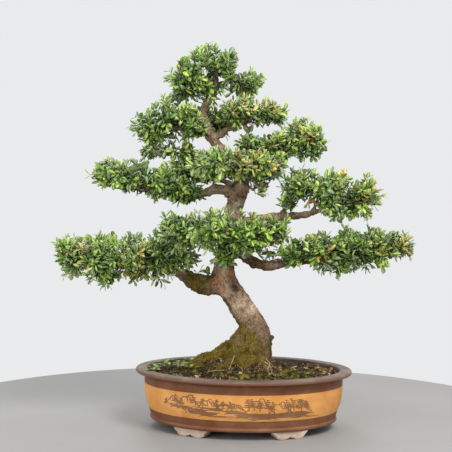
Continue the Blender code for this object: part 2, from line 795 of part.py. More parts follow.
def make_pads(limbs):
    """Every pad of leaves, hollowed for the wood inside it and clear of the other pads."""
    made = []
    for name, height, lobes in PADS:
        pad = None
        for x, y, z, length, depth, rise in lobes:
            lobe = lump("lobe", Vector((x, y, z)) * MM, Vector((length, depth, rise)) * MM)
            if pad is None:
                pad = lobe
            else:
                join(pad, lobe)
        thin = pad.modifiers.new("Simplify", "DECIMATE")
        thin.ratio = PAD_DETAIL
        settle(pad)
        pad.location = place_on_trunk(height)
        cut_clear(pad, limbs + made)
        made.append(to_parts(pad, "leaves_" + name, leaf))


# ---------------------------------------------------------------- build

clear_scene()
parts = new_collection("bonsai_in_pot")
tools = new_collection("cutters")
stand = bpy.data.objects.new("bonsai", None)
parts.objects.link(stand)

clay = material("clay", (0.16, 0.085, 0.055), 0.55)
foot_clay = material("foot_clay", (0.55, 0.43, 0.37), 0.7)
grit_look = material("grit", (0.30, 0.24, 0.19), 0.95)
screen_plastic = material("screen_plastic", (0.02, 0.02, 0.02), 0.5)
wire_metal = material("wire_metal", (0.60, 0.60, 0.62), 0.35, 1.0)
earth = material("earth", (0.035, 0.024, 0.016), 0.95)
moss = material("moss", (0.13, 0.13, 0.02), 0.95)
young_leaf = material("young_leaf", (0.18, 0.36, 0.05), 0.5)
bark = material("bark", (0.20, 0.14, 0.10), 0.9)
leaf = material("leaf", (0.07, 0.17, 0.03), 0.5)

collar = Vector((TREE_X, TREE_Y, soil_height(TREE_X, TREE_Y)))

make_pot()
make_feet()
make_grit()
make_drain_cover("left", -DRAIN_SPACING / 2)
make_drain_cover("right", DRAIN_SPACING / 2)
soil = make_soil()
trunk = make_trunk()
make_ground_cover(soil, trunk)
# The exact solver keeps only a fragment of the soil where the roots run through its surface
cut_clear(soil, (trunk,), "MANIFOLD")
branches = make_branches(trunk)
make_pads([trunk] + branches)

boxes = [world_box(obj) for obj in parts.objects if obj.type == "MESH"]
for axis in (0, 1):
    low = min(box[0][axis] for box in boxes)
    high = max(box[1][axis] for box in boxes)
    stand.location[axis] = -(low + high) / 2
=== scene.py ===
"""Looks of the bonsai tree in its oval pot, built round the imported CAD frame.

Metres, +Z up, the pot's front faces -Y. Everything is laid out from the boxes and the meshes of
the CAD nodes, and every random number comes from one seeded generator per piece.
"""

import math

import bmesh
import bpy
import numpy as np
from mathutils import Matrix, Vector, noise
from mathutils.bvhtree import BVHTree


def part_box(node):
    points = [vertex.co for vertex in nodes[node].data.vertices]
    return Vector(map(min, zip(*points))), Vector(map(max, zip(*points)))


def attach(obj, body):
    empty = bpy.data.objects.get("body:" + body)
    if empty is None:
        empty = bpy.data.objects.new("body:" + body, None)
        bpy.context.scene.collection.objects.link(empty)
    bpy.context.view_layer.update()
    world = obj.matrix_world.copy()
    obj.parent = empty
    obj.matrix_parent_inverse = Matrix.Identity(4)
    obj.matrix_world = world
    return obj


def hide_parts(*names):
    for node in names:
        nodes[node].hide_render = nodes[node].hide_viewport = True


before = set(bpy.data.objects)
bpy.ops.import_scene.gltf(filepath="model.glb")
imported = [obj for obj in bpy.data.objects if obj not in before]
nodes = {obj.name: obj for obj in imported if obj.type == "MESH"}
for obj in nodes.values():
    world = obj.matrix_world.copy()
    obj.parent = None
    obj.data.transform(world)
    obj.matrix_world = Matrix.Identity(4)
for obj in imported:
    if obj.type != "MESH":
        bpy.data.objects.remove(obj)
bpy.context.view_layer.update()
BODY = "root"
MM = 0.001
TURN = 2 * math.pi
UP = np.array((0.0, 0.0, 1.0))


# ---------------------------------------------------------------- meshes and pieces

def unit(vectors):
    """Rows scaled to length one."""
    return vectors / np.maximum(np.linalg.norm(vectors, axis=-1, keepdims=True), 1e-12)


def new_mesh(name, vertices, faces):
    """A mesh from an array of points and an array of faces that all have as many corners."""
    mesh = bpy.data.meshes.new(name)
    count, corners = faces.shape
    mesh.vertices.add(len(vertices))
    set_points(mesh, vertices)
    mesh.loops.add(count * corners)
    mesh.loops.foreach_set("vertex_index", np.ascontiguousarray(faces, np.int32).ravel())
    mesh.polygons.add(count)
    mesh.polygons.foreach_set("loop_start", np.arange(count, dtype=np.int32) * corners)
    mesh.update(calc_edges=True)
    return mesh


def set_points(mesh, points):
    """Move a mesh's points to an array of places."""
    mesh.vertices.foreach_set("co", np.ascontiguousarray(points, np.float32).ravel())


def values_of(mesh, field="co"):
    """The points of a mesh, or their normals, one a row."""
    flat = np.empty(len(mesh.vertices) * 3, np.float32)
    mesh.vertices.foreach_get(field, flat)
    return flat.reshape(-1, 3).astype(float)


def tree_of(points, mesh):
    """A search tree of points joined by the faces of a mesh."""
    faces = [tuple(face.vertices) for face in mesh.polygons]
    return BVHTree.FromPolygons([tuple(point) for point in points], faces)


def add_object(name, data):
    """An object in the scene, from a mesh, a light or a camera."""
    obj = bpy.data.objects.new(name, data)
    bpy.context.scene.collection.objects.link(obj)
    return obj


def place(name, mesh, looks, replaced=(), smooth=True):
    """Put a finished mesh in the scene as a piece of the object, with one look or several."""
    obj = add_object(name, mesh)
    indices = np.zeros(len(mesh.polygons), np.int32)
    if isinstance(looks, tuple):
        mesh.polygons.foreach_get("material_index", indices)
    mesh.materials.clear()
    for look in looks if isinstance(looks, tuple) else (looks,):
        mesh.materials.append(look.material)
    mesh.polygons.foreach_set("material_index", indices)
    mesh.polygons.foreach_set("use_smooth", np.full(len(mesh.polygons), smooth))
    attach(obj, BODY)
    if replaced:
        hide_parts(*replaced)
    return obj


def paint(mesh, name, vectors):
    """Give every point of a mesh a vector."""
    attribute = mesh.attributes.new(name, "FLOAT_VECTOR", "POINT")
    attribute.data.foreach_set("vector", np.ascontiguousarray(vectors, np.float32).ravel())


def tint(mesh, name, colours):
    """Give a mesh of many alike bits a colour for each bit."""
    full = np.concatenate([colours, np.ones((len(colours), 1))], 1)
    each = len(mesh.vertices) // len(colours)
    attribute = mesh.attributes.new(name, "FLOAT_COLOR", "POINT")
    attribute.data.foreach_set("color", np.repeat(full, each, axis=0).astype(np.float32).ravel())


def place_bits(name, shape, colours, look, replaced=(), smooth=True):
    """A piece of many alike bits, from their points and faces, with a colour for each."""
    mesh = new_mesh(name, *shape)
    tint(mesh, "piece_colour", colours)
    return place(name, mesh, look, replaced, smooth)


def repeated(pattern, count, points_each):
    """The faces of one bit, repeated for all of them."""
    faces = np.array(pattern)[None] + (np.arange(count) * points_each)[:, None, None]
    return faces.reshape(-1, faces.shape[-1])


def sample_surface(mesh, count, rng):
    """Points spread evenly over a mesh, the normals of their faces, and the mesh's area."""
    mesh.calc_loop_triangles()
    corners = np.empty(len(mesh.loop_triangles) * 3, np.int32)
    mesh.loop_triangles.foreach_get("vertices", corners)
    a, b, c = (values_of(mesh)[corners.reshape(-1, 3)[:, i]] for i in range(3))
    cross = np.cross(b - a, c - a)
    area = np.linalg.norm(cross, axis=1) / 2
    pick = rng.choice(len(area), count, p=area / area.sum())
    u, v = rng.random(count), rng.random(count)
    flip = u + v > 1
    u[flip], v[flip] = 1 - u[flip], 1 - v[flip]
    spots = a[pick] + u[:, None] * (b - a)[pick] + v[:, None] * (c - a)[pick]
    return spots, unit(cross[pick]), area.sum()


def thin_out(spots, spacing):
    """Indices of points kept so that no two are nearer than the spacing."""
    cells = {}
    kept = []
    for index, spot in enumerate(spots):
        key = tuple(int(math.floor(value / spacing)) for value in spot)
        near = (cells.get((key[0] + i, key[1] + j, key[2] + k), ())
                for i in (-1, 0, 1) for j in (-1, 0, 1) for k in (-1, 0, 1))
        if all(np.sum((spots[other] - spot) ** 2) > spacing ** 2 for cell in near for other in cell):
            cells.setdefault(key, []).append(index)
            kept.append(index)
    return np.array(kept, int)


def across(vectors):
    """A direction at right angles to each, and a second at right angles to both."""
    side = unit(np.cross(vectors, np.eye(3)[np.argmin(np.abs(vectors), axis=1)]))
    return side, np.cross(side, vectors)


def tubes(paths, radii, sides=4):
    """Closed tubes along paths that all have as many points: points and quads."""
    count, steps, _ = paths.shape
    along = unit(np.gradient(paths, axis=1))
    span = unit(paths[:, -1] - paths[:, 0])
    axis = np.eye(3)[np.argmin(np.abs(span), axis=1)]
    side = unit(np.cross(along, axis[:, None, :]))
    up = np.cross(side, along)
    turn = np.arange(sides) * TURN / sides
    ring = (side[:, :, None, :] * np.cos(turn)[None, None, :, None]
            + up[:, :, None, :] * np.sin(turn)[None, None, :, None])
    skin = paths[:, :, None, :] + ring * radii[:, :, None, None]
    index = np.arange(count * steps * sides).reshape(count, steps, sides)
    low, high = index[:, :-1], index[:, 1:]
    quads = np.stack([low, np.roll(low, -1, 2), np.roll(high, -1, 2), high], -1).reshape(-1, 4)
    ends = np.concatenate([index[:, 0, ::-1], index[:, -1]])
    fans = [ends[:, [0, i, i + 1, i + 2]] for i in range(1, sides - 2, 2)]
    return skin.reshape(-1, 3), np.concatenate([quads] + fans)


# ---------------------------------------------------------------- materials

def linear(*display):
    """A display colour of 0 to 255 as a linear one of 0 to 1."""
    share = np.array(display) / 255
    return np.where(share <= 0.04045, share / 12.92, ((share + 0.055) / 1.055) ** 2.4)


class Look:
    """A material with a Principled shader, and the nodes that feed it.

    What is the same all over is set on the shader's own sockets.
    """

    def __init__(self, name, **sockets):
        self.material = bpy.data.materials.new(name)
        self.material.use_nodes = True
        self.shader = self.material.node_tree.nodes["Principled BSDF"]
        for socket, value in sockets.items():
            self.shader.inputs[socket.replace("_", " ")].default_value = value
        self.where = self.node("TexCoord")["Object"]

    def link(self, output, target):
        self.material.node_tree.links.new(output, target)

    def node(self, kind, inputs=None, **settings):
        """A shader node's outputs. An input is a value, or another node's output to link from."""
        made = self.material.node_tree.nodes.new("ShaderNode" + kind)
        for name, value in settings.items():
            setattr(made, name, value)
        for name, value in (inputs or {}).items():
            if isinstance(value, bpy.types.NodeSocket):
                self.link(value, made.inputs[name])
            else:
                made.inputs[name].default_value = value
        return made.outputs

    def noise(self, scale, detail=4.0, roughness=0.55, distortion=0.0, where=None):
        where = self.where if where is None else where
        return self.node("TexNoise", {"Vector": where, "Scale": scale, "Detail": detail,
                                      "Roughness": roughness, "Distortion": distortion})["Fac"]

    def ramp(self, value, *stops):
        """Colours over a value: stops of position, red, green and blue, as displayed."""
        outputs = self.node("ValToRGB", {"Fac": value})
        elements = outputs[0].node.color_ramp.elements
        while len(elements) < len(stops):
            elements.new(0.5)
        for element, (position, *colour) in zip(elements, stops):
            element.position = position
            element.color = (*linear(*colour), 1.0)
        return outputs["Color"]

    def mix(self, first, second, share, blend="MIX"):
        """A share of the second colour in the first; sockets 0, 6 and 7 are share and colours."""
        first, second = (value if isinstance(value, bpy.types.NodeSocket) else (*value, 1.0)
                         for value in (first, second))
        return self.node("Mix", {0: share, 6: first, 7: second}, data_type="RGBA", blend_type=blend)[2]

    def shade(self, colour, factor, share):
        """A colour, multiplied where the share is one."""
        return self.mix(colour, factor, share, "MULTIPLY")

    def between(self, value, low, high, to_low=0.0, to_high=1.0):
        return self.node("MapRange", {"Value": value, "From Min": low, "From Max": high,
                                      "To Min": to_low, "To Max": to_high})["Result"]

    def maths(self, operation, first, second=0.0):
        return self.node("Math", {0: first, 1: second}, operation=operation)[0]

    def axes(self, vector):
        return self.node("SeparateXYZ", {"Vector": vector})

    def painted(self, name, output="Color"):
        return self.node("Attribute", attribute_name=name)[output]

    def finish(self, colour, roughness=None, height=None, distance=0.0, strength=1.0):
        """Link what was made to the shader."""
        self.link(colour, self.shader.inputs["Base Color"])
        if roughness is not None:
            self.link(roughness, self.shader.inputs["Roughness"])
        if height is not None:
            bump = self.node("Bump", {"Height": height, "Distance": distance, "Strength": strength})
            self.link(bump["Normal"], self.shader.inputs["Normal"])
        return self


def clay_look(name, stops, roughness, speck, lip_shade_z=None, stain=0.0, lower=None):
    """Fired clay: clouded colour, dark and pale specks, and a fine pitted skin.

    Painted shade under the lip's overhang darkens the colour just below the lip height, when one is
    given; a broad stain darkens the colour, and lower is a height and the colour below it.
    """
    look = Look(name, Specular_IOR_Level=0.2)
    colour = look.ramp(look.noise(22.0, 5.0, 0.6, 0.4), *stops)
    height = look.axes(look.where)["Z"]
    # Below a height, another colour: on the lip this paints the front face's warm reflection
    if lower:
        edge, colour_below = lower
        below = look.between(height, edge - 0.8 * MM, edge + 0.6 * MM, 0.85, 0.0)
        colour = look.mix(colour, colour_below, below)
    # A darker copy of the colour, for the stain and for the painted shade under the lip
    stained_and_shaded = look.shade(colour, (0.50, 0.42, 0.38), 1.0)
    colour = look.mix(colour, stained_and_shaded, look.between(look.noise(9.0, 3.0, 0.6, 0.6), 0.46, 0.66, 0.0, stain))
    # Painted shade: darker for a few millimetres just under the lip's overhang
    if lip_shade_z is not None:
        colour = look.mix(colour, stained_and_shaded, look.between(height, lip_shade_z - 7 * MM, lip_shade_z - MM, 0.0, 0.75))
    grain = look.noise(900.0, 3.0, 0.6)
    colour = look.mix(colour, linear(48, 34, 28), look.between(grain, 0.30, 0.40, speck, 0.0))
    colour = look.mix(colour, linear(215, 190, 165), look.between(grain, 0.66, 0.74, 0.0, speck))
    wear = look.between(look.noise(60.0), 0.3, 0.7, roughness - 0.1, roughness + 0.12)
    return look.finish(colour, wear, grain, 0.0006, 0.6)


def make_leaf_look():
    """A leaf: its own colour, a paler midrib and side veins, a paler underside and a waxy skin."""
    look = Look("leaf", Specular_IOR_Level=0.32)
    aside, along, under = look.axes(look.painted("leaf_place", "Vector"))
    aside = look.maths("ABSOLUTE", aside)
    slant = look.maths("SUBTRACT", along, look.maths("MULTIPLY", aside, 0.7))
    wave = look.maths("SINE", look.maths("MULTIPLY", slant, 38.0))
    lines = look.maths("MAXIMUM", look.between(aside, 0.02, 0.10, 1.0, 0.0),
                       look.between(wave, 0.75, 1.0, 0.0, 0.5))
    colour = look.mix(look.painted("leaf_colour"), (1.0, 1.0, 0.75), look.maths("MULTIPLY", lines, 0.168))
    mottle = look.noise(260.0, 3.0)
    colour = look.shade(colour, (0.45, 0.55, 0.35), look.between(mottle, 0.42, 0.7, 0.0, 0.55))
    colour = look.mix(colour, (0.62, 0.72, 0.55), look.between(under, 0.4, 0.6, 0.0, 0.30))
    return look.finish(colour, look.between(mottle, 0.3, 0.7, 0.36, 0.56), lines, 0.0003, 0.5)


def bits_look(name, roughness, grain_scale):
    """Small natural bits: each has its own colour, broken up by a grain."""
    look = Look(name, Specular_IOR_Level=0.03)
    own = look.painted("piece_colour")
    grain = look.noise(grain_scale, 4.0, 0.65)
    colour = look.mix(look.shade(own, (0.35, 0.32, 0.30), 1.0), look.mix(own, (1.0, 0.95, 0.85), 0.03),
                      look.between(grain, 0.32, 0.66))
    return look.finish(colour, look.between(grain, 0.3, 0.7, roughness, roughness - 0.15), grain, 0.0004, 0.7)


def bark_look():
    """Grey-brown blotched bark, with the moss, pale patches, dark parts, painted shade on undersides and in
    hollows, and scars painted on it.
    """
    look = Look("bark", Specular_IOR_Level=0.2)
    along = look.node("Mapping", {"Vector": look.where, "Scale": (1.0, 1.0, 0.6)})["Vector"]
    mossy, pale, dark = look.axes(look.painted("bark_cover", "Vector"))
    blotch = look.noise(62.0, 6.0, 0.68, 0.5)
    colour = look.ramp(blotch, (0.30, 86, 64, 48), (0.42, 126, 100, 78), (0.50, 162, 138, 114),
                       (0.58, 122, 94, 70), (0.70, 184, 164, 138))
    colour = look.mix(colour, linear(208, 188, 160), look.maths("MULTIPLY", pale, 0.62))
    speck = look.noise(330.0, 5.0, 0.7, where=along)
    colour = look.mix(colour, linear(214, 198, 172), look.between(speck, 0.59, 0.72, 0.0, 0.6))
    furrow = look.noise(95.0, 6.0, 0.7, 1.2, along)
    colour = look.shade(colour, (0.34, 0.29, 0.25), look.between(furrow, 0.44, 0.34, 0.0, 0.8))
    rust = look.mix(linear(150, 84, 46), linear(206, 140, 84), blotch)
    colour = look.mix(colour, rust, look.axes(look.painted("bark_scar", "Vector"))["X"])
    # Darker by the painted darkness share, painted shade on undersides and in hollows among it
    colour = look.shade(colour, (0.28, 0.24, 0.18), dark)
    moss = look.ramp(look.noise(380.0, 5.0, 0.75), (0.30, 40, 28, 12), (0.45, 88, 70, 18),
                     (0.60, 120, 102, 24), (0.74, 72, 46, 20))
    patch = look.between(look.noise(110.0, 5.0, 0.7), 0.34, 0.48, 0.30, 1.0)
    colour = look.mix(colour, moss, look.maths("MULTIPLY", mossy, patch))
    colour = look.shade(colour, (0.30, 0.26, 0.20), look.between(speck, 0.50, 0.36, 0.0, 0.85))
    rise = look.maths("ADD", speck, look.maths("MULTIPLY", furrow, 1.2))
    return look.finish(colour, look.between(speck, 0.3, 0.7, 0.95, 0.72), rise, 0.0016, 0.9)


# ---------------------------------------------------------------- the oval pot

pot_low, pot_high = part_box("pot_body")
POT_X = (pot_low.x + pot_high.x) / 2
POT_Y = (pot_low.y + pot_high.y) / 2
HALF_LENGTH = (pot_high.x - pot_low.x) / 2
HALF_DEPTH = (pot_high.y - pot_low.y) / 2
RIM_Z = pot_high.z
UNDERSIDE_Z = pot_low.z

# Sizes of the pot's profile, the same as the CAD model's
MOULDING_TOP_Z = UNDERSIDE_Z + 0.007
BAND_BOTTOM_Z = MOULDING_TOP_Z + 0.011
BAND_TOP_Z = BAND_BOTTOM_Z + 0.0405
LIP_BOTTOM_Z = RIM_Z - 0.0065
LIP_OVERHANG = 0.0145
LIP_ROUNDING = 0.0028
COVE = 0.006
BAND_DRAW_IN = 0.008
BAND_CURVE_POWER = 2.4
LOWER_DRAW_IN = 0.005
WALL = 0.0055
FLOOR_Z = UNDERSIDE_Z + 0.007
CORE_INSET = 0.045
SOIL_EDGE_Z = RIM_Z - 0.011
MOUND = 0.016
MOUND_POWER = 0.8
DRAIN_RADIUS = 0.012
DRAIN_SPACING = 0.140
DRAIN_SIDES = 32
POT_SIDES = 192


def wall_inset(z):
    """How far the outer wall is inside the rim at a height."""
    if z >= BAND_TOP_Z:
        return LIP_OVERHANG
    if z >= BAND_BOTTOM_Z:
        down = (BAND_TOP_Z - z) / (BAND_TOP_Z - BAND_BOTTOM_Z)
        return LIP_OVERHANG + BAND_DRAW_IN * down ** BAND_CURVE_POWER
    down = (BAND_BOTTOM_Z - z) / (BAND_BOTTOM_Z - UNDERSIDE_Z)
    return LIP_OVERHANG + BAND_DRAW_IN + LOWER_DRAW_IN * down


def oval_spot(inset, angle):
    """Place and outward direction, across the pot, of a point inset from the rim."""
    edge = np.array((HALF_LENGTH * math.cos(angle), HALF_DEPTH * math.sin(angle)))
    out = unit(np.array((HALF_DEPTH * math.cos(angle), HALF_LENGTH * math.sin(angle))))
    if inset <= CORE_INSET:
        return edge - inset * out, out
    core = edge - CORE_INSET * out
    return core * (HALF_LENGTH - inset) / (HALF_LENGTH - CORE_INSET), out


def arc(middle_inset, middle_z, radius, start, end, steps):
    """Points of an arc in the profile, its angles in degrees from outwards, turning up."""
    turns = np.radians(np.linspace(start, end, steps + 1))
    return [(middle_inset - radius * math.cos(t), middle_z + radius * math.sin(t)) for t in turns]


def pot_profile():
    """Points of (inset, height) of the inside, lip, neck, ochre band and foot, one list for each."""
    inside = [(wall_inset(FLOOR_Z) + WALL + 0.012, FLOOR_Z)]
    for z in np.linspace(FLOOR_Z + 0.003, RIM_Z - 0.002, 16):
        inside.append((wall_inset(z) + WALL, z))
    inside += [(LIP_OVERHANG + WALL - 0.0006, RIM_Z - 0.0005), (LIP_OVERHANG + WALL - 0.002, RIM_Z)]
    lip = [(LIP_ROUNDING + 0.006, RIM_Z)]
    lip += arc(LIP_ROUNDING, RIM_Z - LIP_ROUNDING, LIP_ROUNDING, 90, 0, 7)
    lip += arc(LIP_ROUNDING, LIP_BOTTOM_Z + LIP_ROUNDING, LIP_ROUNDING, 0, -90, 7)[1:]
    neck = arc(LIP_OVERHANG - COVE, LIP_BOTTOM_Z - COVE, COVE, 90, 180, 6)
    neck += [(LIP_OVERHANG, z) for z in np.linspace(LIP_BOTTOM_Z - COVE, BAND_TOP_Z + 0.0004, 5)[1:]]
    band = [(wall_inset(z), z) for z in np.linspace(BAND_TOP_Z - 0.0002, BAND_BOTTOM_Z + 0.0002, 16)]
    foot = [(wall_inset(BAND_BOTTOM_Z) + 0.0002, BAND_BOTTOM_Z - 0.0004),
            (wall_inset(BAND_BOTTOM_Z - 0.005), BAND_BOTTOM_Z - 0.005),
            (wall_inset(MOULDING_TOP_Z), MOULDING_TOP_Z)]
    bead_radius = (MOULDING_TOP_Z - UNDERSIDE_Z) / 2
    foot += arc(wall_inset(UNDERSIDE_Z), UNDERSIDE_Z + bead_radius, bead_radius, 60, -90, 8)
    foot.append((wall_inset(UNDERSIDE_Z) + 0.012, UNDERSIDE_Z))
    return inside, lip, neck, band, foot


def close_floor(form):
    """The pot's floor, above and below, with two drain holes through it."""
    inside_index, brown_index = 0, 2
    floors = [[edge for edge in form.edges if edge.is_boundary
               and all(abs(corner.co.z - z) < MM for corner in edge.verts)] for z in (FLOOR_Z, UNDERSIDE_Z)]
    for x in (-DRAIN_SPACING / 2, DRAIN_SPACING / 2):
        rings = []
        for floor, z in zip(floors, (FLOOR_Z, UNDERSIDE_Z)):
            ring = [form.verts.new((POT_X + x + DRAIN_RADIUS * math.cos(t),
                                    POT_Y + DRAIN_RADIUS * math.sin(t), z))
                    for t in np.arange(DRAIN_SIDES) * TURN / DRAIN_SIDES]
            floor += [form.edges.new((ring[i], ring[(i + 1) % DRAIN_SIDES])) for i in range(DRAIN_SIDES)]
            rings.append(ring)
        for i in range(DRAIN_SIDES):
            after = (i + 1) % DRAIN_SIDES
            corners = (rings[0][i], rings[0][after], rings[1][after], rings[1][i])
            form.faces.new(corners).material_index = brown_index
    for floor, index in zip(floors, (inside_index, brown_index)):
        for item in bmesh.ops.triangle_fill(form, edges=floor, use_beauty=True)["geom"]:
            if isinstance(item, bmesh.types.BMFace):
                item.material_index = index


def make_pot():
    """The bowl, one closed shell: the profile turned round the oval, and the floor."""
    parts = pot_profile()
    points = []
    for inset, z in (point for part in parts for point in part):
        for side in range(POT_SIDES):
            spot, _ = oval_spot(inset, side * TURN / POT_SIDES)
            point = np.array((POT_X + spot[0], POT_Y + spot[1], z))
            wobble = noise.noise(Vector(point) * 14.0) * 0.00035
            out = unit(np.array((point[0] - POT_X, (point[1] - POT_Y) * HALF_LENGTH / HALF_DEPTH)))
            point[:2] += out * wobble
            points.append(point)
    index = np.arange(len(points)).reshape(-1, POT_SIDES)
    low, high = index[:-1], index[1:]
    quads = np.stack([low, np.roll(low, -1, 1), np.roll(high, -1, 1), high], -1)
    mesh = new_mesh("pot", np.array(points), quads.reshape(-1, 4))
    look_of_part = (0, 1, 2, 3, 2)
    row_looks = np.repeat(look_of_part, [len(part) for part in parts])[1:]
    mesh.polygons.foreach_set("material_index", np.repeat(row_looks, POT_SIDES).astype(np.int32))
    form = bmesh.new()
    form.from_mesh(mesh)
    close_floor(form)
    bmesh.ops.recalc_face_normals(form, faces=form.faces)
    form.to_mesh(mesh)
    form.free()
    inner = clay_look("clay_inside", ((0.35, 70, 62, 60), (0.65, 104, 92, 88)), 0.75, 0.25)
    # The lip's front face is painted warmer brown below the given height: a painted reflection
    lip = clay_look("clay_lip", ((0.30, 90, 72, 60), (0.50, 108, 92, 80), (0.70, 128, 116, 108)), 0.50, 0.35,
                    stain=0.2, lower=(RIM_Z - 0.0022, linear(124, 82, 58)))
    # The neck is painted with shade just under the lip's overhang
    brown = clay_look("clay_brown", ((0.30, 104, 64, 42), (0.55, 126, 82, 56), (0.75, 144, 100, 70)),
                      0.54, 0.3, LIP_BOTTOM_Z, 0.25)
    ochre = clay_look("clay_ochre", ((0.30, 202, 136, 68), (0.50, 222, 158, 86), (0.72, 236, 176, 106)),
                      0.62, 0.2, stain=0.3)
    place("pot", mesh, (inner, lip, brown, ochre), ("pot_body",))


# ---------------------------------------------------------------- brushed landscape on the band

class Brush:
    """Strokes of dark slip on the front of the band, as thin raised ribbons."""

    RISE, ROOT = 0.00022, -0.0003

    def __init__(self, rng):
        self.rng = rng
        self.points = []
        self.faces = []
        self.angles = np.linspace(math.radians(-165), math.radians(-15), 400)
        self.levels = np.linspace(BAND_BOTTOM_Z, BAND_TOP_Z, 9)
        self.reach = [np.array([oval_spot(wall_inset(z), a)[0][0] for a in self.angles])
                      for z in self.levels]

    def on_wall(self, x, z, out):
        level = int(np.argmin(np.abs(self.levels - z)))
        angle = float(np.interp(x, self.reach[level], self.angles))
        spot, normal = oval_spot(wall_inset(z), angle)
        spot = spot + normal * out
        return (POT_X + spot[0], POT_Y + spot[1], z)

    def stroke(self, line, widths):
        """A ribbon along a line of (x, z) in metres on the band, with a width at each point."""
        line = np.array(line, float)
        along = unit(np.gradient(line, axis=0))
        offsets = np.stack([-along[:, 1], along[:, 0]], 1) * (np.array(widths)[:, None] / 2)
        first = len(self.points)
        for spot, offset in zip(line, offsets):
            for side, out in ((1, self.RISE), (-1, self.RISE), (-1, self.ROOT), (1, self.ROOT)):
                x, z = spot + side * offset
                z = min(max(z, BAND_BOTTOM_Z + 0.8 * MM), BAND_TOP_Z - 0.8 * MM)
                self.points.append(self.on_wall(x, z, out))
        last = first + 4 * (len(line) - 1)
        for a in range(first, last, 4):
            for side in range(4):
                b = (side + 1) % 4
                self.faces.append((a + side, a + b, a + 4 + b, a + 4 + side))
        self.faces.append((first + 3, first + 2, first + 1, first))
        self.faces.append((last, last + 1, last + 2, last + 3))

    def dab(self, x, z, length, width, tilt=0.0):
        """A short stroke, thick in the middle."""
        share = np.linspace(-0.5, 0.5, 6)
        bend = self.rng.uniform(-0.12, 0.12) * length
        line = [(x + length * s * math.cos(tilt) - bend * s * s * 4 * math.sin(tilt),
                 z + length * s * math.sin(tilt) + bend * s * s * 4) for s in share]
        self.stroke(line, [max(width * (1 - (2 * abs(s)) ** 2), 0.25 * MM) for s in share])

    def pine(self, x, z, height):
        """A leaning tree: a stem, and layers of short level dabs."""
        rng = self.rng
        lean = rng.uniform(-0.3, 0.3)
        stem = [(x + lean * height * s + 0.8 * MM * math.sin(5 * s), z + height * s)
                for s in np.linspace(0, 1, 6)]
        self.stroke(stem, np.linspace(1.5 * MM, 0.6 * MM, 6))
        for layer in range(5):
            share = 0.35 + 0.16 * layer
            reach = height * (0.62 - 0.10 * layer)
            for _ in range(3):
                self.dab(x + lean * height * share + rng.uniform(-0.5, 0.5) * reach,
                         z + height * share + rng.uniform(-0.4, 0.4) * MM,
                         reach * rng.uniform(0.6, 1.0), rng.uniform(1.2, 2.1) * MM,
                         rng.uniform(-0.2, 0.2))

    def hill(self, x, z, width, height):
        """A rounded hill: its outline, and slanting shade strokes on one side."""
        rng = self.rng
        share = np.linspace(-0.5, 0.5, 14)
        rise = [math.cos(math.pi * s) ** 1.5 * (1 + 0.16 * math.sin(19 * s + x * 400)) for s in share]
        line = [(x + width * s, z + height * r) for s, r in zip(share, rise)]
        self.stroke(line, [1.9 * MM * (0.5 + 0.5 * rng.random()) for _ in share])
        for s in np.linspace(-0.05, 0.42, 7):
            top = height * math.cos(math.pi * s) ** 1.5
            length = top * rng.uniform(0.45, 0.8)
            if length > 2 * MM:
                self.dab(x + width * (s + 0.02), z + top - length * 0.5, length,
                         rng.uniform(1.0, 1.9) * MM, math.radians(rng.uniform(-78, -60)))

    def bank(self, x, z, width, thick):
        """A dark shore: overlapping long level strokes."""
        for _ in range(5):
            shift = self.rng.uniform(-0.14, 0.14) * width
            self.dab(x + shift, z + self.rng.uniform(-0.5, 0.5) * thick,
                     width * self.rng.uniform(0.5, 0.95), thick * self.rng.uniform(0.5, 1.0),
                     self.rng.uniform(-0.03, 0.03))

    def water(self, x, z, width, count):
        """Ripples: thin level strokes."""
        for _ in range(count):
            self.dab(x + self.rng.uniform(-0.4, 0.4) * width, z + self.rng.uniform(-1.5, 1.5) * MM,
                     width * self.rng.uniform(0.2, 0.5), self.rng.uniform(0.4, 0.8) * MM)


# In mm, from the band's middle and its lower edge: X, rise, width and height of the hills
HILLS = ((-104, 19, 34, 13), (-80, 18, 44, 19), (-48, 18, 40, 15), (-24, 20, 26, 9),
         (-6, 16, 34, 12), (30, 14, 46, 22), (62, 12, 40, 18), (90, 13, 40, 20))
# X, rise and height of the trees
PINES = ((-118, 18, 10), (-98, 20, 16), (-90, 18, 13), (-68, 21, 16), (-58, 19, 15), (-36, 19, 14),
         (-26, 21, 10), (-12, 17, 14), (14, 17, 18), (22, 18, 17), (30, 17, 15), (44, 15, 19),
         (52, 14, 17), (74, 15, 18), (82, 16, 19), (94, 15, 18), (102, 16, 14))
# X, rise, width and thickness of the shores
BANKS = ((-96, 17, 56, 4.6), (-70, 13, 60, 5.2), (-50, 10, 44, 3.6), (-42, 18, 46, 3.2), (-8, 15, 40, 3.4),
         (20, 11, 74, 5.0), (52, 9, 72, 5.2), (82, 11, 56, 5.0), (34, 5, 70, 2.6))
# X, rise and width of the ripples, and their number
WATERS = ((-112, 21, 50, 5), (-20, 26, 40, 4), (-18, 7, 60, 6), (86, 6, 60, 6), (98, 20, 30, 4))


def make_landscape():
    """Two groups of hills, trees and shores, painted on the front of the band."""
    brush = Brush(np.random.default_rng(23))
    for draw, spots in ((brush.hill, HILLS), (brush.pine, PINES), (brush.bank, BANKS)):
        for x, rise, *sizes in spots:
            draw(x * MM, BAND_BOTTOM_Z + rise * MM, *(size * MM for size in sizes))
    for x, rise, width, count in WATERS:
        brush.water(x * MM, BAND_BOTTOM_Z + rise * MM, width * MM, count)
    mesh = new_mesh("pot_painting", np.array(brush.points), np.array(brush.faces))
    slip = clay_look("brown_slip", ((0.3, 114, 78, 54), (0.7, 150, 110, 76)), 0.6, 0.25)
    place("pot_painting", mesh, slip, smooth=False)


# ---------------------------------------------------------------- feet and drainage

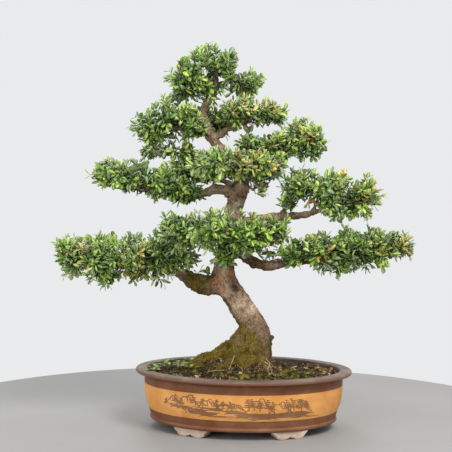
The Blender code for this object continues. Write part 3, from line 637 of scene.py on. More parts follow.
def remeshed(sources, voxel, smoothing, grow):
    """One skin over copies of CAD meshes, grown a little and evened out."""
    form = bmesh.new()
    for source in sources:
        form.from_mesh(source.data)
    mesh = bpy.data.meshes.new("copy")
    form.to_mesh(mesh)
    form.free()
    set_points(mesh, values_of(mesh) + values_of(mesh, "normal") * grow)
    obj = add_object("copy", mesh)
    remesh = obj.modifiers.new("Remesh", "REMESH")
    remesh.mode = "VOXEL"
    remesh.voxel_size = voxel
    smooth = obj.modifiers.new("Smooth", "SMOOTH")
    smooth.iterations = smoothing
    bpy.context.view_layer.update()
    mesh = bpy.data.meshes.new_from_object(obj.evaluated_get(bpy.context.evaluated_depsgraph_get()))
    bpy.data.objects.remove(obj)
    return mesh


def make_feet():
    """The feet's CAD shapes with softened edges and an uneven, hand-pressed skin."""
    look = clay_look("foot_clay", ((0.3, 158, 130, 108), (0.5, 186, 164, 144), (0.7, 206, 192, 178)),
                     0.7, 0.4)
    for name in ("foot_front_left", "foot_front_right", "foot_back_left", "foot_back_right"):
        mesh = remeshed([nodes[name]], 0.0009, 5, 0.0001)
        points = values_of(mesh)
        for point, normal in zip(points, values_of(mesh, "normal")):
            point += normal * noise.noise(Vector(point) * 160.0) * 0.0005
        points[:, 2] = np.maximum(points[:, 2], 0.0)
        set_points(mesh, points)
        place(name.replace("foot", "clay_foot"), mesh, look, (name,))


def dress_hidden_parts():
    """Drainage pieces keep their CAD shape and get finished materials."""
    grit = clay_look("grit", ((0.3, 120, 105, 90), (0.7, 176, 162, 148)), 0.9, 0.6)
    plastic = clay_look("screen_plastic", ((0.3, 26, 26, 28), (0.7, 40, 40, 42)), 0.5, 0.1)
    wire = Look("clip_wire", Metallic=1.0)
    dull = wire.noise(500.0)
    wire.finish(wire.ramp(dull, (0.3, 150, 150, 155), (0.7, 205, 205, 210)),
                wire.between(dull, 0.3, 0.7, 0.28, 0.5))
    for name, look in (("grit_layer", grit), ("drain_screen_left", plastic), ("drain_screen_right", plastic),
                       ("screen_clip_left", wire), ("screen_clip_right", wire)):
        materials = nodes[name].data.materials
        if not materials:
            materials.append(look.material)
        for index in range(len(materials)):
            materials[index] = look.material


# ---------------------------------------------------------------- soil and what lies on it

SOIL_HALF_LENGTH = HALF_LENGTH - LIP_OVERHANG - WALL
SOIL_HALF_DEPTH = HALF_DEPTH - LIP_OVERHANG - WALL

# Foot of the trunk on the soil, and how far soil and moss rise round it
TREE_X = POT_X + 0.013
TREE_Y = POT_Y - 0.008
COLLAR_RISE = 0.016
COLLAR_REACH = 0.062
COLLAR_REACH_LEFT = 0.086
COLLAR_REACH_RIGHT = 0.044


def soil_height(x, y):
    """Height of the smooth soil: a low mound, and a collar round the trunk."""
    reach = np.hypot((x - POT_X) / HALF_LENGTH, (y - POT_Y) / HALF_DEPTH)
    mound = MOUND * np.maximum(0.0, 1.0 - reach) ** MOUND_POWER
    spread = np.where(x < TREE_X, COLLAR_REACH_LEFT, COLLAR_REACH_RIGHT)
    away = ((x - TREE_X) / spread) ** 2 + ((y - TREE_Y) / COLLAR_REACH) ** 2
    return SOIL_EDGE_Z + mound + COLLAR_RISE * np.exp(-away ** 1.5)


def bumps(x, y):
    """How far the bumpy soil stands over the smooth one at a place."""
    spot = Vector((x, y, 0.0))
    return (noise.noise(spot * 45.0) * 1.6 + noise.noise(spot * 130.0) * 0.9
            + noise.noise(spot * 330.0) * 0.5) * MM


def ground(x, y):
    """Height of the bumpy soil at one place."""
    return float(soil_height(x, y)) + bumps(x, y)


def on_ground(x, y):
    """Points on the bumpy soil, one a row."""
    return np.stack([x, y, [ground(a, b) for a, b in zip(x, y)]], 1)


def oval_scatter(count, rng, margin=0.002):
    """Points spread evenly over the soil."""
    turn = rng.uniform(0, TURN, count)
    share = np.sqrt(rng.random(count))
    return on_ground(POT_X + (SOIL_HALF_LENGTH - margin) * share * np.cos(turn),
                     POT_Y + (SOIL_HALF_DEPTH - margin) * share * np.sin(turn))


def make_soil():
    """The soil's bumpy top, closed below."""
    rings, sides = 56, 200
    edge = np.array([(math.cos(t), math.sin(t)) for t in np.arange(sides) * TURN / sides])
    points = [(POT_X, POT_Y, ground(POT_X, POT_Y))]
    for share in np.arange(1, rings + 1) / rings:
        points += [tuple(spot) for spot in on_ground(POT_X + (SOIL_HALF_LENGTH + MM) * share * edge[:, 0],
                                                     POT_Y + (SOIL_HALF_DEPTH + MM) * share * edge[:, 1])]
    points += [(POT_X + (SOIL_HALF_LENGTH - MM) * x, POT_Y + (SOIL_HALF_DEPTH - MM) * y, SOIL_EDGE_Z - 0.012)
               for x, y in edge]
    faces = []
    for side in range(sides):
        after = (side + 1) % sides
        faces.append((0, 1 + side, 1 + after))
        for low in range(1, 1 + rings * sides, sides):
            high = low + sides
            faces.append((low + side, high + side, high + after, low + after))
    faces.append(tuple(range(len(points) - 1, len(points) - 1 - sides, -1)))
    mesh = bpy.data.meshes.new("soil_top")
    mesh.from_pydata(points, [], faces)
    look = Look("soil", Specular_IOR_Level=0.0, Roughness=1.0)
    coarse = look.noise(130.0, 6.0, 0.7)
    colour = look.ramp(coarse, (0.30, 14, 9, 6), (0.48, 32, 23, 14), (0.62, 58, 44, 26), (0.74, 98, 78, 48))
    place("soil_top", mesh, look.finish(colour, None, coarse, 0.002), ("soil",))


def random_turns(count, rng):
    """Random rotations, one matrix a row."""
    w, x, y, z = unit(rng.normal(size=(count, 4))).T
    return np.stack([
        np.stack([1 - 2 * (y * y + z * z), 2 * (x * y - z * w), 2 * (x * z + y * w)], -1),
        np.stack([2 * (x * y + z * w), 1 - 2 * (x * x + z * z), 2 * (y * z - x * w)], -1),
        np.stack([2 * (x * z - y * w), 2 * (y * z + x * w), 1 - 2 * (x * x + y * y)], -1)], 1)


def ball(detail):
    """Points and triangles of a ball of radius one."""
    form = bmesh.new()
    bmesh.ops.create_icosphere(form, subdivisions=detail, radius=1.0)
    form.verts.ensure_lookup_table()
    shape = np.array([vertex.co for vertex in form.verts])
    triangles = np.array([[vertex.index for vertex in face.verts] for face in form.faces])
    form.free()
    return shape, triangles


def stones(local, triangles, spots, lift, rng):
    """Shapes turned every way and set on the spots: points and triangles."""
    points = np.einsum("nij,nkj->nki", random_turns(len(spots), rng), local) + spots[:, None]
    points[..., 2] += lift
    return points.reshape(-1, 3), repeated(triangles, len(spots), local.shape[1])


def pick_colours(palette, shares, count, rng):
    """Display colours picked in these shares, as linear ones, each a little lighter or darker."""
    table = np.array([linear(*colour) for colour in palette])
    chosen = table[rng.choice(len(palette), count, p=np.array(shares) / np.sum(shares))]
    return chosen * rng.uniform(0.85, 1.15, (count, 1))


def patchy_colours(spots, palette, scale, rng):
    """Colours along the palette, dark to bright, alike in neighbouring bits."""
    tone = np.array([noise.noise(Vector(spot) * scale) for spot in spots]) * 0.95 + 0.48
    tone = np.clip(tone + rng.normal(0, 0.16, len(spots)), 0, 0.999)
    table = np.array([linear(*colour) for colour in palette])
    return table[(tone * len(palette)).astype(int)] * rng.uniform(0.8, 1.2, (len(spots), 1))


SOIL_COLOURS = ((18, 12, 8), (32, 22, 14), (50, 36, 22), (76, 58, 34), (82, 74, 30), (98, 60, 36),
                (136, 112, 74))
MOSS_COLOURS = ((40, 32, 12), (66, 56, 20), (96, 86, 26), (106, 108, 36), (134, 124, 38), (172, 160, 70))
TRUNK_MOSS_COLOURS = ((56, 40, 16), (82, 64, 20), (106, 88, 20), (124, 106, 24), (142, 124, 34),
                      (168, 152, 62))


def make_grains(look):
    """Angular grains of soil, each its own little stone."""
    rng = np.random.default_rng(31)
    count = 7200
    spots = oval_scatter(count, rng)
    size = rng.lognormal(math.log(0.0015), 0.42, count)
    shape, triangles = ball(1)
    local = shape[None] * rng.uniform(0.72, 1.28, (count, len(shape), 1))
    local = local * rng.uniform(0.65, 1.2, (count, 1, 3)) * size[:, None, None]
    grains = stones(local, triangles, spots, size[:, None] * 0.25, rng)
    colours = patchy_colours(spots, SOIL_COLOURS, 120.0, rng)
    bright = rng.random(count) < 0.05
    colours[bright] = pick_colours(((168, 148, 112), (196, 182, 154), (140, 84, 52)), (3, 2, 2),
                                   int(bright.sum()), rng)
    place_bits("soil_grains", grains, colours, look, smooth=False)


def make_litter(look):
    """Bits of twig, root and needle that lie on the soil."""
    rng = np.random.default_rng(37)
    count, steps = 1500, 4
    spots = oval_scatter(count, rng, 0.006)
    turn = rng.uniform(0, TURN, count)
    tilt = rng.uniform(-0.25, 0.4, count)
    way = np.stack([np.cos(turn) * np.cos(tilt), np.sin(turn) * np.cos(tilt), np.sin(tilt)], 1)
    length = rng.uniform(0.003, 0.010, count)
    share = np.linspace(-0.5, 0.5, steps)
    paths = spots[:, None] + way[:, None] * (share[None, :, None] * length[:, None, None])
    paths = paths + rng.normal(0, 0.0006, (count, steps, 3))
    paths[..., 2] += 0.0016
    radii = np.repeat(rng.uniform(0.00018, 0.0005, count)[:, None], steps, 1)
    colours = pick_colours(((150, 128, 84), (82, 60, 36), (46, 32, 20), (104, 96, 40), (190, 172, 128)),
                           (16, 28, 24, 24, 7), count, rng)
    place_bits("litter", tubes(paths, radii), colours, look)


def make_rootlets(look, wood_tree):
    """Thin pale roots that run down off the trunk's foot and over the soil."""
    rng = np.random.default_rng(41)
    count, steps = 7, 10
    paths = np.empty((count, steps, 3))
    for path in paths:
        turn = math.radians(rng.uniform(-150, -40))
        start = rng.uniform(0.034, 0.052)
        length = rng.uniform(0.028, 0.060)
        bend = rng.uniform(-0.5, 0.5)
        for point, share in zip(path, np.linspace(0, 1, steps)):
            angle = turn + bend * share + 0.10 * math.sin(9 * share + turn * 7)
            x = TREE_X + (start + length * share) * math.cos(angle)
            y = TREE_Y + (start + length * share) * math.sin(angle)
            z = float(soil_height(x, y)) + 0.0022 + bumps(x, y)
            hit = wood_tree.ray_cast(Vector((x, y, 0.20)), Vector((0, 0, -1)), 0.13)[0]
            if hit is not None and hit.z > z:
                z = min(hit.z + 0.0004, z + 0.014)
            point[:] = x, y, z
    paths[:, -1, 2] -= 0.003
    radii = rng.uniform(0.0005, 0.0009, count)[:, None] * np.linspace(1.0, 0.45, steps)[None]
    colours = pick_colours(((190, 168, 118), (166, 140, 90), (136, 110, 70)), (4, 4, 2), count, rng)
    place_bits("rootlets", tubes(paths, radii, 6), colours, look)


def moss_stems(name, spots, normals, heights, widths, colours, scale, look, replaced, rng):
    """Short moss stems on the spots: small pyramids, their heights and widths within two ranges."""
    count = len(spots)
    height, width = rng.uniform(*heights, (count, 1)), rng.uniform(*widths, (count, 1))
    lean = unit(normals + rng.normal(0, 0.45, (count, 3)))
    side = unit(np.cross(lean, np.eye(3)[np.argmin(np.abs(lean), axis=1)]))
    other = np.cross(lean, side)
    base = spots - lean * 0.0006
    corners = [base + (side * a + other * b) * width for a, b in ((1, 0), (0, 1), (-1, 0), (0, -1))]
    points = np.stack(corners + [spots + lean * height], 1)
    pyramid = ((0, 1, 4), (1, 2, 4), (2, 3, 4), (3, 0, 4), (0, 3, 2), (0, 2, 1))
    place_bits(name, (points.reshape(-1, 3), repeated(pyramid, count, 5)),
               patchy_colours(spots, colours, scale, rng), look, replaced, False)


def make_moss(look):
    """Moss on the soil: a mat of short stems over each CAD patch, and looser tufts elsewhere."""
    rng = np.random.default_rng(43)

    def tufts(name, spots, replaced=()):
        moss_stems(name, spots, UP, (0.0014, 0.0038), (0.0004, 0.0010), MOSS_COLOURS, 150.0, look,
                   replaced, rng)

    spots = oval_scatter(16000, rng, 0.004)
    patch = np.array([noise.noise(Vector(spot) * 42.0) for spot in spots])
    near = np.exp(-((spots[:, 0] - TREE_X) / 0.075) ** 2 - ((spots[:, 1] - TREE_Y) / 0.070) ** 2)
    tufts("moss_tufts_loose", spots[patch + 0.45 * near + rng.normal(0, 0.08, len(spots)) > 0.26])
    for name in ("moss_front", "moss_left", "moss_right"):
        low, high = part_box(name)
        turn = rng.uniform(0, TURN, 3000)
        share = rng.random(3000) ** 0.6 * (1.25 + 0.25 * np.sin(3 * turn) + 0.15 * np.sin(5 * turn + 1))
        x = (low.x + high.x) / 2 + (high.x - low.x) / 2 * share * np.cos(turn)
        y = (low.y + high.y) / 2 + (high.y - low.y) / 2 * share * np.sin(turn)
        inside = np.hypot((x - POT_X) / SOIL_HALF_LENGTH, (y - POT_Y) / SOIL_HALF_DEPTH) < 0.985
        spots = on_ground(x[inside], y[inside])
        spots[:, 2] += 0.0045 * np.maximum(0.0, 1.0 - share[inside]) ** 0.5
        tufts(name.replace("moss", "moss_tufts"), spots, (name,))


# ---------------------------------------------------------------- wood

BRANCHES = sorted(name for name in nodes if name.startswith("branch_"))

# Swellings of the wood: X from the pot's middle, Y, height, reach and rise
SWELLS = (
    (-0.070, -0.006, 0.224, 0.019, 0.0060), (-0.090, -0.006, 0.236, 0.012, 0.0035),
    (-0.050, 0.004, 0.246, 0.014, 0.0030), (-0.004, -0.006, 0.392, 0.010, 0.0032),
    (-0.026, 0.000, 0.372, 0.011, 0.0028), (0.004, 0.004, 0.364, 0.010, 0.0024),
    (0.016, -0.004, 0.262, 0.012, 0.0030), (0.050, -0.006, 0.262, 0.013, 0.0026),
    (0.052, 0.000, 0.345, 0.009, 0.0028), (0.082, 0.000, 0.352, 0.009, 0.0026),
    (0.100, 0.000, 0.348, 0.008, 0.0020), (-0.052, 0.000, 0.452, 0.010, 0.0025),
    (0.040, -0.010, 0.140, 0.016, 0.0030))
# Orange scars on the bark: X, height and reach
SCARS = ((-0.046, 0.236, 0.010), (-0.036, 0.222, 0.007), (-0.024, 0.250, 0.009),
         (0.022, 0.262, 0.006), (-0.010, 0.384, 0.006))
# Painted shade in hollows and crotches of the wood: X, height and reach
HOLLOW_SHADE = ((-0.056, 0.254, 0.012), (-0.074, 0.228, 0.018), (-0.012, 0.272, 0.012),
           (-0.040, 0.398, 0.014), (-0.092, 0.240, 0.012), (0.016, 0.268, 0.012),
           (0.050, 0.141, 0.009))
# The cone of grown wood between the roots: X of its middle, half width, half depth, height
FOOT_CONE = ((-0.001, 0.042, 0.044, 0.096), (0.001, 0.040, 0.041, 0.108), (0.007, 0.033, 0.034, 0.136),
             (0.014, 0.021, 0.022, 0.160), (0.017, 0.010, 0.011, 0.178))


def nearness(point, x, z, reach):
    """One at a place on the bark, seen from the front or the back, and nought away from it."""
    return math.exp(-((point[0] - POT_X - x) ** 2 + (point[2] - z) ** 2) / reach ** 2)


def clamped(value, low=0.0, high=1.0):
    return min(max(value, low), high)


def make_foot_cone():
    """A broad cone round the trunk's foot, to be grown together with the roots."""
    sides = 32
    points = [(POT_X + x + half * math.cos(t), TREE_Y + depth * math.sin(t), z)
              for x, half, depth, z in FOOT_CONE for t in np.arange(sides) * TURN / sides]
    faces = [tuple(range(sides - 1, -1, -1)), tuple(range(len(points) - sides, len(points)))]
    for ring in range(0, len(points) - sides, sides):
        for step in range(sides):
            after = (step + 1) % sides
            faces.append((ring + step, ring + after, ring + sides + after, ring + sides + step))
    mesh = bpy.data.meshes.new("foot_cone")
    mesh.from_pydata(points, [], faces)
    return add_object("foot_cone", mesh)


def bark_rise(spot, size, thick):
    """How far the bark stands out at a place, in millimetres."""
    gnarl = 1.0 if thick < 0.028 else 0.4
    lumps = (noise.noise(spot * 38.0) * 1.8
             + gnarl * (noise.noise(spot * 95.0) * 4.6 + noise.noise(spot * 210.0) * 2.4))
    furrow = 1.0 - abs(noise.noise(Vector((spot.x * 300.0, spot.y * 300.0, spot.z * 150.0)))) * 2.0
    rise = size * lumps + (0.25 + 0.75 * size) * (furrow * 0.45 - 0.25) + 0.30 * noise.noise(spot * 560.0)
    for x, y, z, reach, swell in SWELLS:
        away = (spot.x - POT_X - x) ** 2 + (spot.y - POT_Y - y) ** 2 + (spot.z - z) ** 2
        if away < 9 * reach ** 2:
            rise += swell / MM * math.exp(-away / reach ** 2)
    return rise


def bark_cover(point, spot, size, faces_down):
    """Shares of moss, pale patches and darkness, partly painted shade, at a place on the bark."""
    drift = noise.noise(spot * 30.0)
    moss = clamped((0.161 + 0.030 * drift - 0.35 * (spot.x - TREE_X) - spot.z) / 0.020)
    moss *= clamped((0.052 - spot.x + POT_X) / 0.03, 0.15)
    moss = max(moss, 0.9 * nearness(point, -0.078, 0.232, 0.018))
    thin = 0.4 + 0.6 * size
    pale = math.exp(-((spot.z - 0.196 + 0.010 * drift) / 0.011) ** 2)
    pale = max(pale, clamped(noise.noise(spot * 38.0) * 3.0 - 0.6, 0.0, 0.8)) * thin
    # Painted shade: faces turned down are darker
    dark = 0.22 * (1 - size) + (0.25 if faces_down else 0.0)
    dark += 0.52 * clamped((0.188 - spot.z) / 0.02)
    dark += max(-2.4 * noise.noise(spot * 55.0) - 0.3, 0.0)
    if spot.z > 0.30:
        pale = max(pale, clamped(noise.noise(spot * 50.0) * 6.0 + 0.55) * thin)
        dark *= 0.7
    # Painted shade in the hollows and crotches
    dark += sum(0.8 * nearness(point, *hollow) for hollow in HOLLOW_SHADE)
    return moss, pale, min(dark, 0.95)


def make_wood():
    """Trunk, roots and branches as one grown skin with bark."""
    foot = make_foot_cone()
    mesh = remeshed([nodes["trunk"], foot] + [nodes[name] for name in BRANCHES], 0.00155, 5, 0.0005)
    bpy.data.objects.remove(foot)
    points = values_of(mesh)
    tree = tree_of(points, mesh)
    moved, cover, scars = points.copy(), np.zeros(points.shape), np.zeros(points.shape)
    for index, (point, normal) in enumerate(zip(points, values_of(mesh, "normal"))):
        spot, inward = Vector(point), Vector(-normal)
        thick = tree.ray_cast(spot + inward * 0.0004, inward, 0.08)[3]
        thick = 0.02 if thick is None else thick
        size = min(thick / 0.022, 1.0)
        moved[index] = point + normal * bark_rise(spot, size, thick) * MM
        cover[index] = bark_cover(point, spot, size, normal[2] < -0.35)
        scarred = sum(nearness(point, *scar) for scar in SCARS) * (0.6 + 0.8 * noise.noise(spot * 560.0))
        scars[index, 0] = min(scarred, 0.85)
    set_points(mesh, moved)
    mesh.update()
    paint(mesh, "bark_cover", cover)
    paint(mesh, "bark_scar", scars)
    return place("wood", mesh, bark_look(), ["trunk"] + BRANCHES), tree_of(moved, mesh)


def make_trunk_moss(look, wood):
    """Short moss on the trunk's foot and over the roots."""
    rng = np.random.default_rng(47)
    spots, normals, _ = sample_surface(wood.data, 120000, rng)
    bias = np.array([noise.noise(Vector(spot) * 30.0) for spot in spots])
    limit = 0.143 + 0.045 * bias + rng.normal(0, 0.006, len(spots))
    left = (spots[:, 0] - POT_X < 0.036) | (rng.random(len(spots)) < 0.15)
    keep = (spots[:, 2] < limit) & (spots[:, 2] > SOIL_EDGE_Z + 0.002) & (normals[:, 2] > -0.35) & left
    spots, normals = spots[keep][:9000], normals[keep][:9000]
    moss_stems("moss_on_trunk", spots, unit(normals + UP * 0.35), (0.0008, 0.0024), (0.0003, 0.0006),
               TRUNK_MOSS_COLOURS, 90.0, look, (), rng)


# ---------------------------------------------------------------- leaves

# A leaf seen from above: outline points as (across, along), then the midrib's points
LEAF_OUTLINE = ((0.0, 0.0), (0.25, 0.22), (0.5, 0.56), (0.37, 0.84), (0.0, 1.0),
                (-0.37, 0.84), (-0.5, 0.56), (-0.25, 0.22))
LEAF_RIB = (0.22, 0.56, 0.84)
LEAF_POINTS = len(LEAF_OUTLINE) + 2 * len(LEAF_RIB)
LEAF_TOP = ((0, 1, 8), (0, 8, 7), (8, 1, 2), (8, 2, 9), (7, 8, 9), (7, 9, 6),
            (9, 2, 3), (9, 3, 10), (6, 9, 10), (6, 10, 5), (10, 3, 4), (10, 4, 5))
LEAF_THICKNESS = 0.00022

DEEP = linear(72, 110, 28)
MIDDLE = linear(124, 162, 46)
BRIGHT = linear(194, 216, 100)
BLUISH = linear(88, 142, 76)
RARE = np.array([linear(*colour) for colour in ((222, 194, 96), (190, 144, 80), (208, 116, 56))])


def place_leaves(name, base, axis, normal, length, width, fold, curl, colours, look, replaced=()):
    """A piece of closed thin leaves, one a row, each with its colour."""
    count = len(base)
    axis = unit(axis)
    normal = unit(normal - axis * np.sum(normal * axis, 1, keepdims=True))
    side = np.cross(axis, normal)
    aside = np.array([p[0] for p in LEAF_OUTLINE] + [0.0] * 6)
    along = np.array([p[1] for p in LEAF_OUTLINE] + list(LEAF_RIB) * 2)
    under = np.array([0.5] * 8 + [0.0] * 3 + [1.0] * 3)
    local_x = aside[None] * width[:, None]
    local_y = along[None] * length[:, None]
    local_z = np.abs(local_x) * fold[:, None] - curl[:, None] * length[:, None] * along[None] ** 2
    local_z[:, under == 1.0] -= LEAF_THICKNESS
    points = (base[:, None] + side[:, None] * local_x[..., None] + axis[:, None] * local_y[..., None]
              + normal[:, None] * local_z[..., None])
    top = np.array(LEAF_TOP)
    bottom = top[:, ::-1] + 3 * (top[:, ::-1] > 7)
    mesh = new_mesh(name, points.reshape(-1, 3), repeated(np.concatenate([top, bottom]), count, LEAF_POINTS))
    tint(mesh, "leaf_colour", colours)
    paint(mesh, "leaf_place", np.tile(np.stack([aside, along, under], 1), (count, 1)))
    place(name, mesh, look, replaced)


def leaf_colours(depth, tip, young, shoots, owner, rng):
    """Colours of leaves: dark and bluish inside, bright at the tips, bronze where growth is new.

    Most of the change is from shoot to shoot, and the rest from leaf to leaf.
    """
    count = len(depth)
    own = rng.normal(0.0, 0.24, shoots)[owner] + rng.normal(0.0, 0.13, count)
    fresh = np.clip(0.55 * tip + 0.34 + own - 0.50 * depth, 0, 1)[:, None]
    colour = np.where(fresh < 0.5, DEEP + (MIDDLE - DEEP) * fresh * 2,
                      MIDDLE + (BRIGHT - MIDDLE) * (fresh * 2 - 1))
    blue = np.clip(rng.normal(-0.02, 0.26, shoots)[owner] + 0.15 * depth, 0, 0.6)[:, None]
    colour = colour * (1 - blue) + (colour * 0.5 + BLUISH * 0.5) * blue
    chance = 0.6 * rng.random(shoots)[owner] + 0.4 * rng.random(count)
    rare = chance < 0.07 + 0.46 * young * (0.35 + 0.65 * tip)
    pick = RARE[rng.choice(3, shoots, p=(0.42, 0.42, 0.16))[owner]]
    share = rng.uniform(0.35, 0.95, (count, 1))
    colour = np.where(rare[:, None], colour * (1 - share) + pick * share, colour)
    return colour * rng.uniform(0.80, 1.22, (count, 1))


def grow_twigs(bases, anchors, rng):
    """Twigs that join every shoot's foot to the branch, each starting from the nearest wood."""
    gap = np.array([np.min(np.sum((anchors - base) ** 2, 1)) for base in bases])
    joints, costs, paths = [anchors], [np.zeros(len(anchors))], []
    share = np.linspace(0, 1, 5)[:, None]
    for base in bases[np.argsort(gap)]:
        known, cost = np.concatenate(joints), np.concatenate(costs)
        away = np.linalg.norm(known - base, axis=1)
        pick = int(np.argmin(away + 0.35 * cost + np.where(away < 0.003, 0.01, 0.0)))
        start, length = known[pick], away[pick]
        path = start + (base - start) * share + rng.normal(0, 0.10, 3) * length * 4 * share * (1 - share)
        path[:, 2] -= 0.08 * length * (4 * share * (1 - share))[:, 0]
        paths.append(path)
        joints.append(path[2:])
        costs.append(cost[pick] + length * np.array((0.5, 0.75, 1.0)))
    return np.array(paths)


# Single sprigs on the bare part of a branch: X from the pot's middle, and height
SPRIGS = {
    "lower_right": ((0.012, 0.296), (0.026, 0.290), (0.040, 0.284), (0.052, 0.281), (0.066, 0.279),
                    (0.080, 0.280), (0.034, 0.296), (0.058, 0.292)),
    "mid_right": ((0.058, 0.372), (0.072, 0.376)),
    "lower_left": ((-0.058, 0.256), (-0.070, 0.262)),
}
# Places with bronze, orange and yellow new growth: X from the pot's middle, height, and reach
YOUNG = {
    "lower_left": ((-0.185, 0.268, 0.030), (-0.262, 0.284, 0.022)),
    "lower_right": ((0.235, 0.288, 0.030), (0.130, 0.277, 0.016), (0.262, 0.302, 0.022)),
    "mid_right": ((0.200, 0.385, 0.040), (0.112, 0.362, 0.016), (0.183, 0.405, 0.030)),
    "mid_front": ((0.005, 0.405, 0.045), (0.030, 0.440, 0.025)),
    "upper_mid_right": ((0.095, 0.495, 0.032), (0.055, 0.455, 0.020)),
    "apex": ((-0.012, 0.592, 0.018), (-0.045, 0.570, 0.014)),
    "upper_right": ((0.000, 0.510, 0.020), (0.045, 0.520, 0.016)),
}
SHOOT_SPACING = 0.0110
SAMPLE_AREA = 1.5e-5


def lay_shoots(name, rng):
    """Shoots over a pad's surface and inside it: tips, feet, how deep each is, and which are long."""
    mesh = remeshed([nodes["leaves_" + name]], 0.005, 8, 0.0015)
    pad_tree = tree_of(values_of(mesh), mesh)

    def height_over(points):
        """How far points stand out of the pad; less than nought inside it."""
        nearest = [pad_tree.find_nearest(Vector(point)) for point in points]
        return np.array([near[1].dot(Vector(point) - near[0]) for near, point in zip(nearest, points)])

    area = sample_surface(mesh, 10, rng)[2]
    spots, outs, _ = sample_surface(mesh, int(area / SAMPLE_AREA), rng)
    kept = thin_out(spots, SHOOT_SPACING)
    spots, outs = spots[kept], outs[kept]
    deep = rng.choice(len(spots), int(0.75 * len(spots)))
    rough = np.array([noise.noise(Vector(spot) * 42.0) for spot in spots]) * 0.014
    sink = np.concatenate([rng.normal(0.0070, 0.0038, len(spots)) + rough,
                           rng.uniform(0.016, 0.034, len(deep))])
    long_shoot = np.concatenate([rng.random(len(spots)) < 0.16, np.zeros(len(deep), bool)])
    sink[long_shoot] = rng.uniform(-0.007, 0.001, int(long_shoot.sum()))
    spots, outs = np.concatenate([spots, spots[deep]]), np.concatenate([outs, outs[deep]])
    tips = spots - outs * sink[:, None]
    inner = np.clip((sink - 0.006) / 0.02, 0, 1)
    way = unit(outs * 0.85 + UP * 0.55 + rng.normal(0, 0.42, spots.shape))
    straight = unit(outs + UP * 0.20 + rng.normal(0, 0.22, spots.shape))
    way = np.where(long_shoot[:, None], straight, way)
    shoot = rng.uniform(0.016, 0.032, len(tips)) * np.where(inner > 0.5, 0.8, 1.0)
    shoot = np.where(long_shoot, shoot + 0.008, shoot)[:, None]
    bases = (tips - way * shoot) * 0.6 + (tips - unit(way - UP * 0.35) * shoot) * 0.4
    gap = np.array([noise.noise(Vector((46.0 * x + 3.0, 18.0 * y, 46.0 * z))) for x, y, z in tips]) < -0.24
    kept = ~gap & ((height_over(tips) < 0.0015) | long_shoot) & (height_over(bases) < 0.002)
    tips, bases, inner, long_shoot = tips[kept], bases[kept], inner[kept], long_shoot[kept]
    for x, z in SPRIGS.get(name, ()):
        tip = np.array((POT_X + x, POT_Y - 0.016, z)) + rng.normal(0, 0.003, 3)
        foot = tip + np.array((rng.normal(0, 0.006), 0.012, -0.013))
        tips, bases = np.concatenate([tips, [tip]]), np.concatenate([bases, [foot]])
        inner, long_shoot = np.append(inner, 0.0), np.append(long_shoot, False)
    return tips, bases, inner, long_shoot


def make_foliage(name, tips, bases, inner, long_shoot, look, rng):
    """Leaves round each shoot of a pad, in a spiral, smaller towards its tip."""
    owner, share = [], []
    for index in range(len(tips)):
        leaves = int(rng.integers(6, 10)) if inner[index] < 0.5 else int(rng.integers(4, 6))
        leaves += 3 if long_shoot[index] else 0
        for step in range(leaves):
            owner.append(index)
            share.append((step + rng.uniform(0, 0.6)) / leaves)
    owner, share = np.array(owner), np.array(share)
    count = len(owner)
    turn = rng.uniform(0, TURN, len(tips))[owner] + share * 8.0 * 2.4
    stem_way = unit(tips - bases)[owner]
    side, other = across(stem_way)
    radial = side * np.cos(turn)[:, None] + other * np.sin(turn)[:, None]
    opening = np.radians(62 - 34 * share + rng.normal(0, 9, count))[:, None]
    axis = unit(stem_way * np.cos(opening) + radial * np.sin(opening) + rng.normal(0, 0.10, (count, 3)))
    normal = stem_way * 0.9 + UP * 0.55 + rng.normal(0, 0.25, (count, 3))
    foot = bases[owner] + (tips - bases)[owner] * (0.12 + 0.88 * share)[:, None] + radial * 0.0004
    length = rng.uniform(0.0115, 0.0170, count) * (1.0 - 0.28 * share ** 3)
    width = length * rng.uniform(0.46, 0.62, count)
    width = np.where(long_shoot[owner], 0.70 * width, width)
    fold, curl = rng.uniform(0.10, 0.42, count), rng.uniform(-0.02, 0.16, count)
    depth = np.clip(inner[owner] + (1 - share) * 0.35, 0, 1)
    young = np.zeros(count)
    for x, z, reach in YOUNG.get(name, ()):
        away = np.hypot(foot[:, 0] - POT_X - x, foot[:, 2] - z)
        young = np.maximum(young, np.clip(1.4 - away / reach, 0, 1))
    colours = leaf_colours(depth, share, young, len(tips), owner, rng)
    place_leaves("foliage_" + name, foot, axis, normal, length, width, fold, curl, colours, look,
                 ("leaves_" + name,))


def make_twigs(name, tips, bases, look, rng):
    """A pad's twigs: from the branch to each shoot, then the shoot's own stem."""
    source = nodes.get("branch_" + name) or nodes["trunk"]
    anchors = np.array([v.co for v in source.data.vertices])
    low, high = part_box("leaves_" + name)
    near = np.all((anchors > np.array(low) - 0.012) & (anchors < np.array(high) + 0.012), axis=1)
    joined = grow_twigs(bases, anchors[near] if near.any() else anchors, rng)
    stems = bases[:, None] + (tips - bases)[:, None] * np.linspace(0, 1, 5)[None, :, None]
    radii = np.concatenate([
        np.linspace(1, 0.62, 5)[None] * rng.uniform(0.00075, 0.00125, len(joined))[:, None],
        np.linspace(1, 0.5, 5)[None] * rng.uniform(0.0005, 0.0007, len(stems))[:, None]])
    woody = pick_colours(((112, 90, 70), (86, 66, 50), (134, 116, 92)), (3, 3, 2), len(joined), rng)
    green = pick_colours(((122, 112, 66), (110, 86, 56), (136, 128, 78)), (3, 3, 2), len(stems), rng)
    place_bits("twigs_" + name, tubes(np.concatenate([joined, stems]), radii), np.concatenate([woody, green]),
               look)


